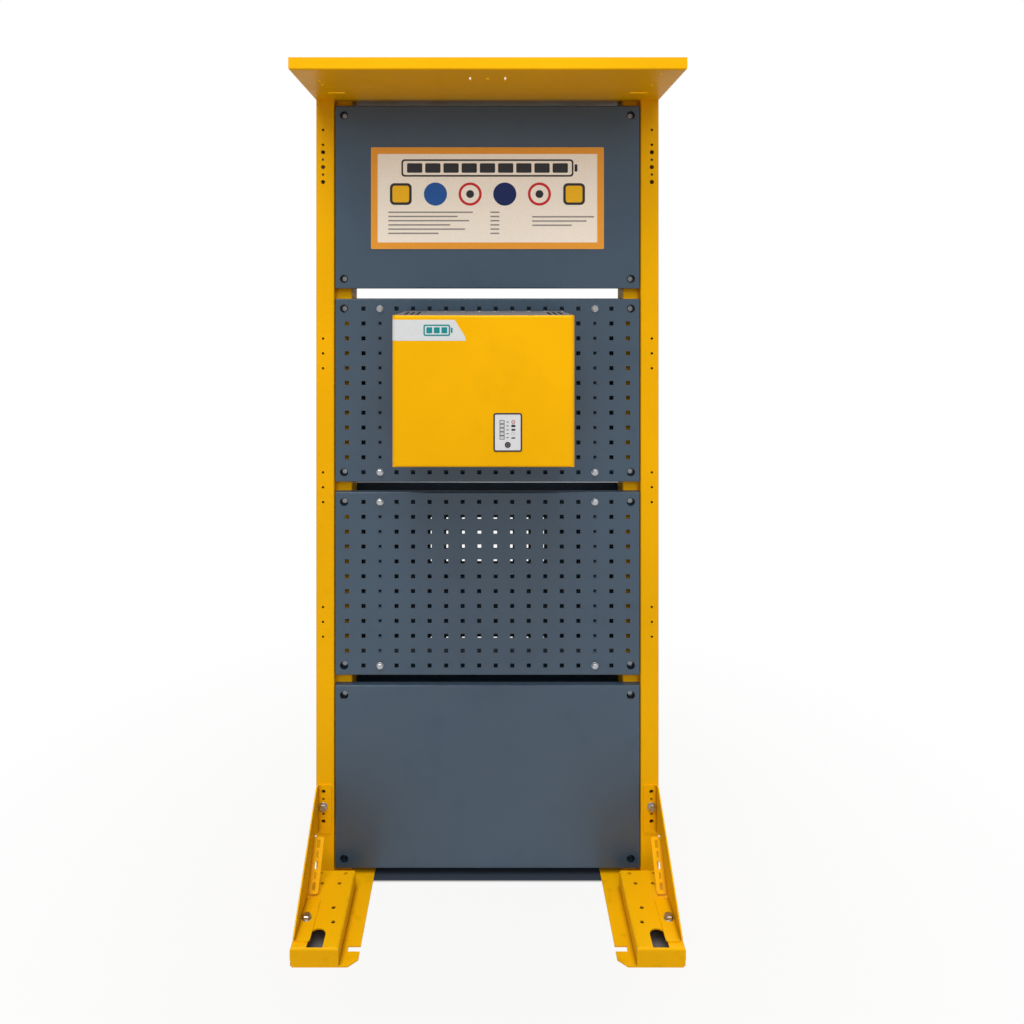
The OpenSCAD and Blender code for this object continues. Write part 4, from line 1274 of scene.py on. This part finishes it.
class StationStage(bpy.types.Operator):
    """Sets up the floor, the lamps, the world and the camera"""

    bl_idname = "station.stage"
    bl_label = "Set up the stage"

    def execute(self, context):
        s = sizes()
        scene = context.scene
        scene.view_settings.view_transform = "Standard"
        self.floor(scene)
        self.world(scene)
        for name, (at, to, width, power, mirrored) in LAMPS.items():
            self.lamp(scene, name, at, to, width, power, mirrored)
        data = bpy.data.cameras.new("camera")
        camera = bpy.data.objects.new("camera", data)
        scene.collection.objects.link(camera)
        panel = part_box("lower_panel")[0].y
        camera.location = (CAMERA_ASIDE, panel - s.camera_distance, s.camera_height)
        camera.rotation_euler = (math.pi / 2, 0.0, 0.0)
        data.sensor_width = SENSOR
        data.lens = LENS
        data.shift_x, data.shift_y = SHIFT
        scene.camera = camera
        return {"FINISHED"}

    def lamp(self, scene, name, at, to, width, power, mirrored):
        data = bpy.data.lights.new(name, "AREA")
        data.shape = "SQUARE"
        data.size = width
        data.energy = power
        lamp = bpy.data.objects.new(name, data)
        scene.collection.objects.link(lamp)
        lamp.visible_glossy = mirrored
        lamp.location = at
        lamp.rotation_mode = "QUATERNION"
        lamp.rotation_quaternion = (Vector(to) - Vector(at)).to_track_quat("-Z", "Y")

    def seen(self, f, mirrored=True):
        """1 for what the camera sees straight on or through glass, and also in a mirror where asked."""
        rays = f.tree.nodes.new("ShaderNodeLightPath")
        keys = ("Is Camera Ray", "Is Glossy Ray", "Is Transmission Ray")
        camera, glossy, through = (Val(f, rays.outputs[key]) for key in keys)
        return camera + glossy + through if mirrored else camera + through

    def under(self, f):
        """Masks of the floor in the hollows of the feet and under the lowest panels, where no white
        shows and a shadow is painted."""
        split = f.node("ShaderNodeVectorMath", {"operation": "ABSOLUTE"}, {0: f.place})
        axes = f.tree.nodes.new("ShaderNodeSeparateXYZ")
        f.feed(axes.inputs[0], split)
        x, y = Val(f, axes.outputs[0]), Val(f, axes.outputs[1])
        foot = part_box("foot_right")[1]
        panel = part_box("lower_panel")[0]
        outer, front = foot.x - HOLLOW_MARGIN, foot.y - HOLLOW_MARGIN
        hollow = (x > foot.x - HOLLOW_WIDTH) * (outer > x) * (front > y)
        far, near = RACK_EDGE_Y
        beside = f.ramp(x, low=-panel.x, high=-panel.x - RACK_EDGE_X)
        ahead = f.ramp(y, low=far - panel.y, high=near - panel.y)
        return hollow, beside * ahead

    def floor(self, scene):
        mesh = bpy.data.meshes.new("floor")
        r = FLOOR_REACH
        mesh.from_pydata([(-r, -r, 0), (r, -r, 0), (r, r, 0), (-r, r, 0)], [], [(0, 1, 2, 3)])
        floor = bpy.data.objects.new("floor", mesh)
        scene.collection.objects.link(floor)
        floor.location.z = -FLOOR_DROP
        f = Finish("floor_paint")
        grain = f.noise(scale=30.0, detail=4.0)
        c = colours()
        hollow, rack = self.under(f)
        paint = f.mix(f.ramp(grain, low=0.3, high=0.7), shade(c.floor, 0.99), shade(c.floor, 1.01))
        # Painted shadow: the floor takes the shade colour under the lowest panels and in the feet's
        # hollows.
        dark = rack + hollow * HOLLOW_SHADE
        f.set(Base_Color=f.mix(dark, paint, c.floor_shade), Roughness=0.6)
        white = f.node("ShaderNodeEmission", sockets={"Color": WHITE, "Strength": 1.0})
        away = f.node("ShaderNodeVectorMath", {"operation": "LENGTH"}, {0: f.place}, out="Value")
        share = WHITE_NEAR + f.ramp(away, low=WHITE_FROM, high=WHITE_TO) * (1 - WHITE_NEAR)
        share = share * (1.0 - hollow) * (1.0 - rack)
        both = f.node(
            "ShaderNodeMixShader",
            sockets={0: self.seen(f) * share, 1: Val(f, f.surface.outputs[0]), 2: white},
        )
        f.tree.links.new(both.socket, f.end.inputs[0])
        mesh.materials.append(f.material)

    def world(self, scene):
        world = bpy.data.worlds.new("studio")
        scene.world = world
        world.use_nodes = True
        f = Shader(world.node_tree)
        end = f.tree.nodes.new("ShaderNodeOutputWorld")
        light = f.node("ShaderNodeBackground", sockets={"Color": WHITE, "Strength": WORLD_LIGHT})
        back = f.node("ShaderNodeBackground", sockets={"Color": WHITE, "Strength": 1.0})
        direct = self.seen(f, mirrored=False)
        both = f.node("ShaderNodeMixShader", sockets={0: direct, 1: light, 2: back})
        f.tree.links.new(both.socket, end.inputs[0])


class StationPanel(bpy.types.Panel):
    """Lists the steps in the sidebar"""

    bl_idname = "VIEW3D_PT_station"
    bl_label = "Charging station"
    bl_space_type = "VIEW_3D"
    bl_region_type = "UI"
    bl_category = "Station"

    def draw(self, context):
        for step in STEPS:
            self.layout.operator(step.bl_idname)
        for group in (context.scene.station_sizes, context.scene.station_colours):
            column = self.layout.column()
            for key in group.__annotations__:
                column.prop(group, key)


STEPS = (
    StationPaint,
    StationBolts,
    StationWelds,
    StationFittings,
    StationSign,
    StationLabel,
    StationDisplay,
    StationStage,
)
CLASSES = (StationSizes, StationColours, *STEPS, StationPanel)


def register():
    for cls in CLASSES:
        bpy.utils.register_class(cls)
    bpy.types.Scene.station_sizes = bpy.props.PointerProperty(type=StationSizes)
    bpy.types.Scene.station_colours = bpy.props.PointerProperty(type=StationColours)


def unregister():
    del bpy.types.Scene.station_colours
    del bpy.types.Scene.station_sizes
    for cls in reversed(CLASSES):
        bpy.utils.unregister_class(cls)


def main():
    register()
    bpy.ops.station.paint()
    bpy.ops.station.bolts()
    bpy.ops.station.welds()
    bpy.ops.station.fittings()
    bpy.ops.station.sign()
    bpy.ops.station.label()
    bpy.ops.station.display()
    bpy.ops.station.stage()


if __name__ == "__main__":
    main()
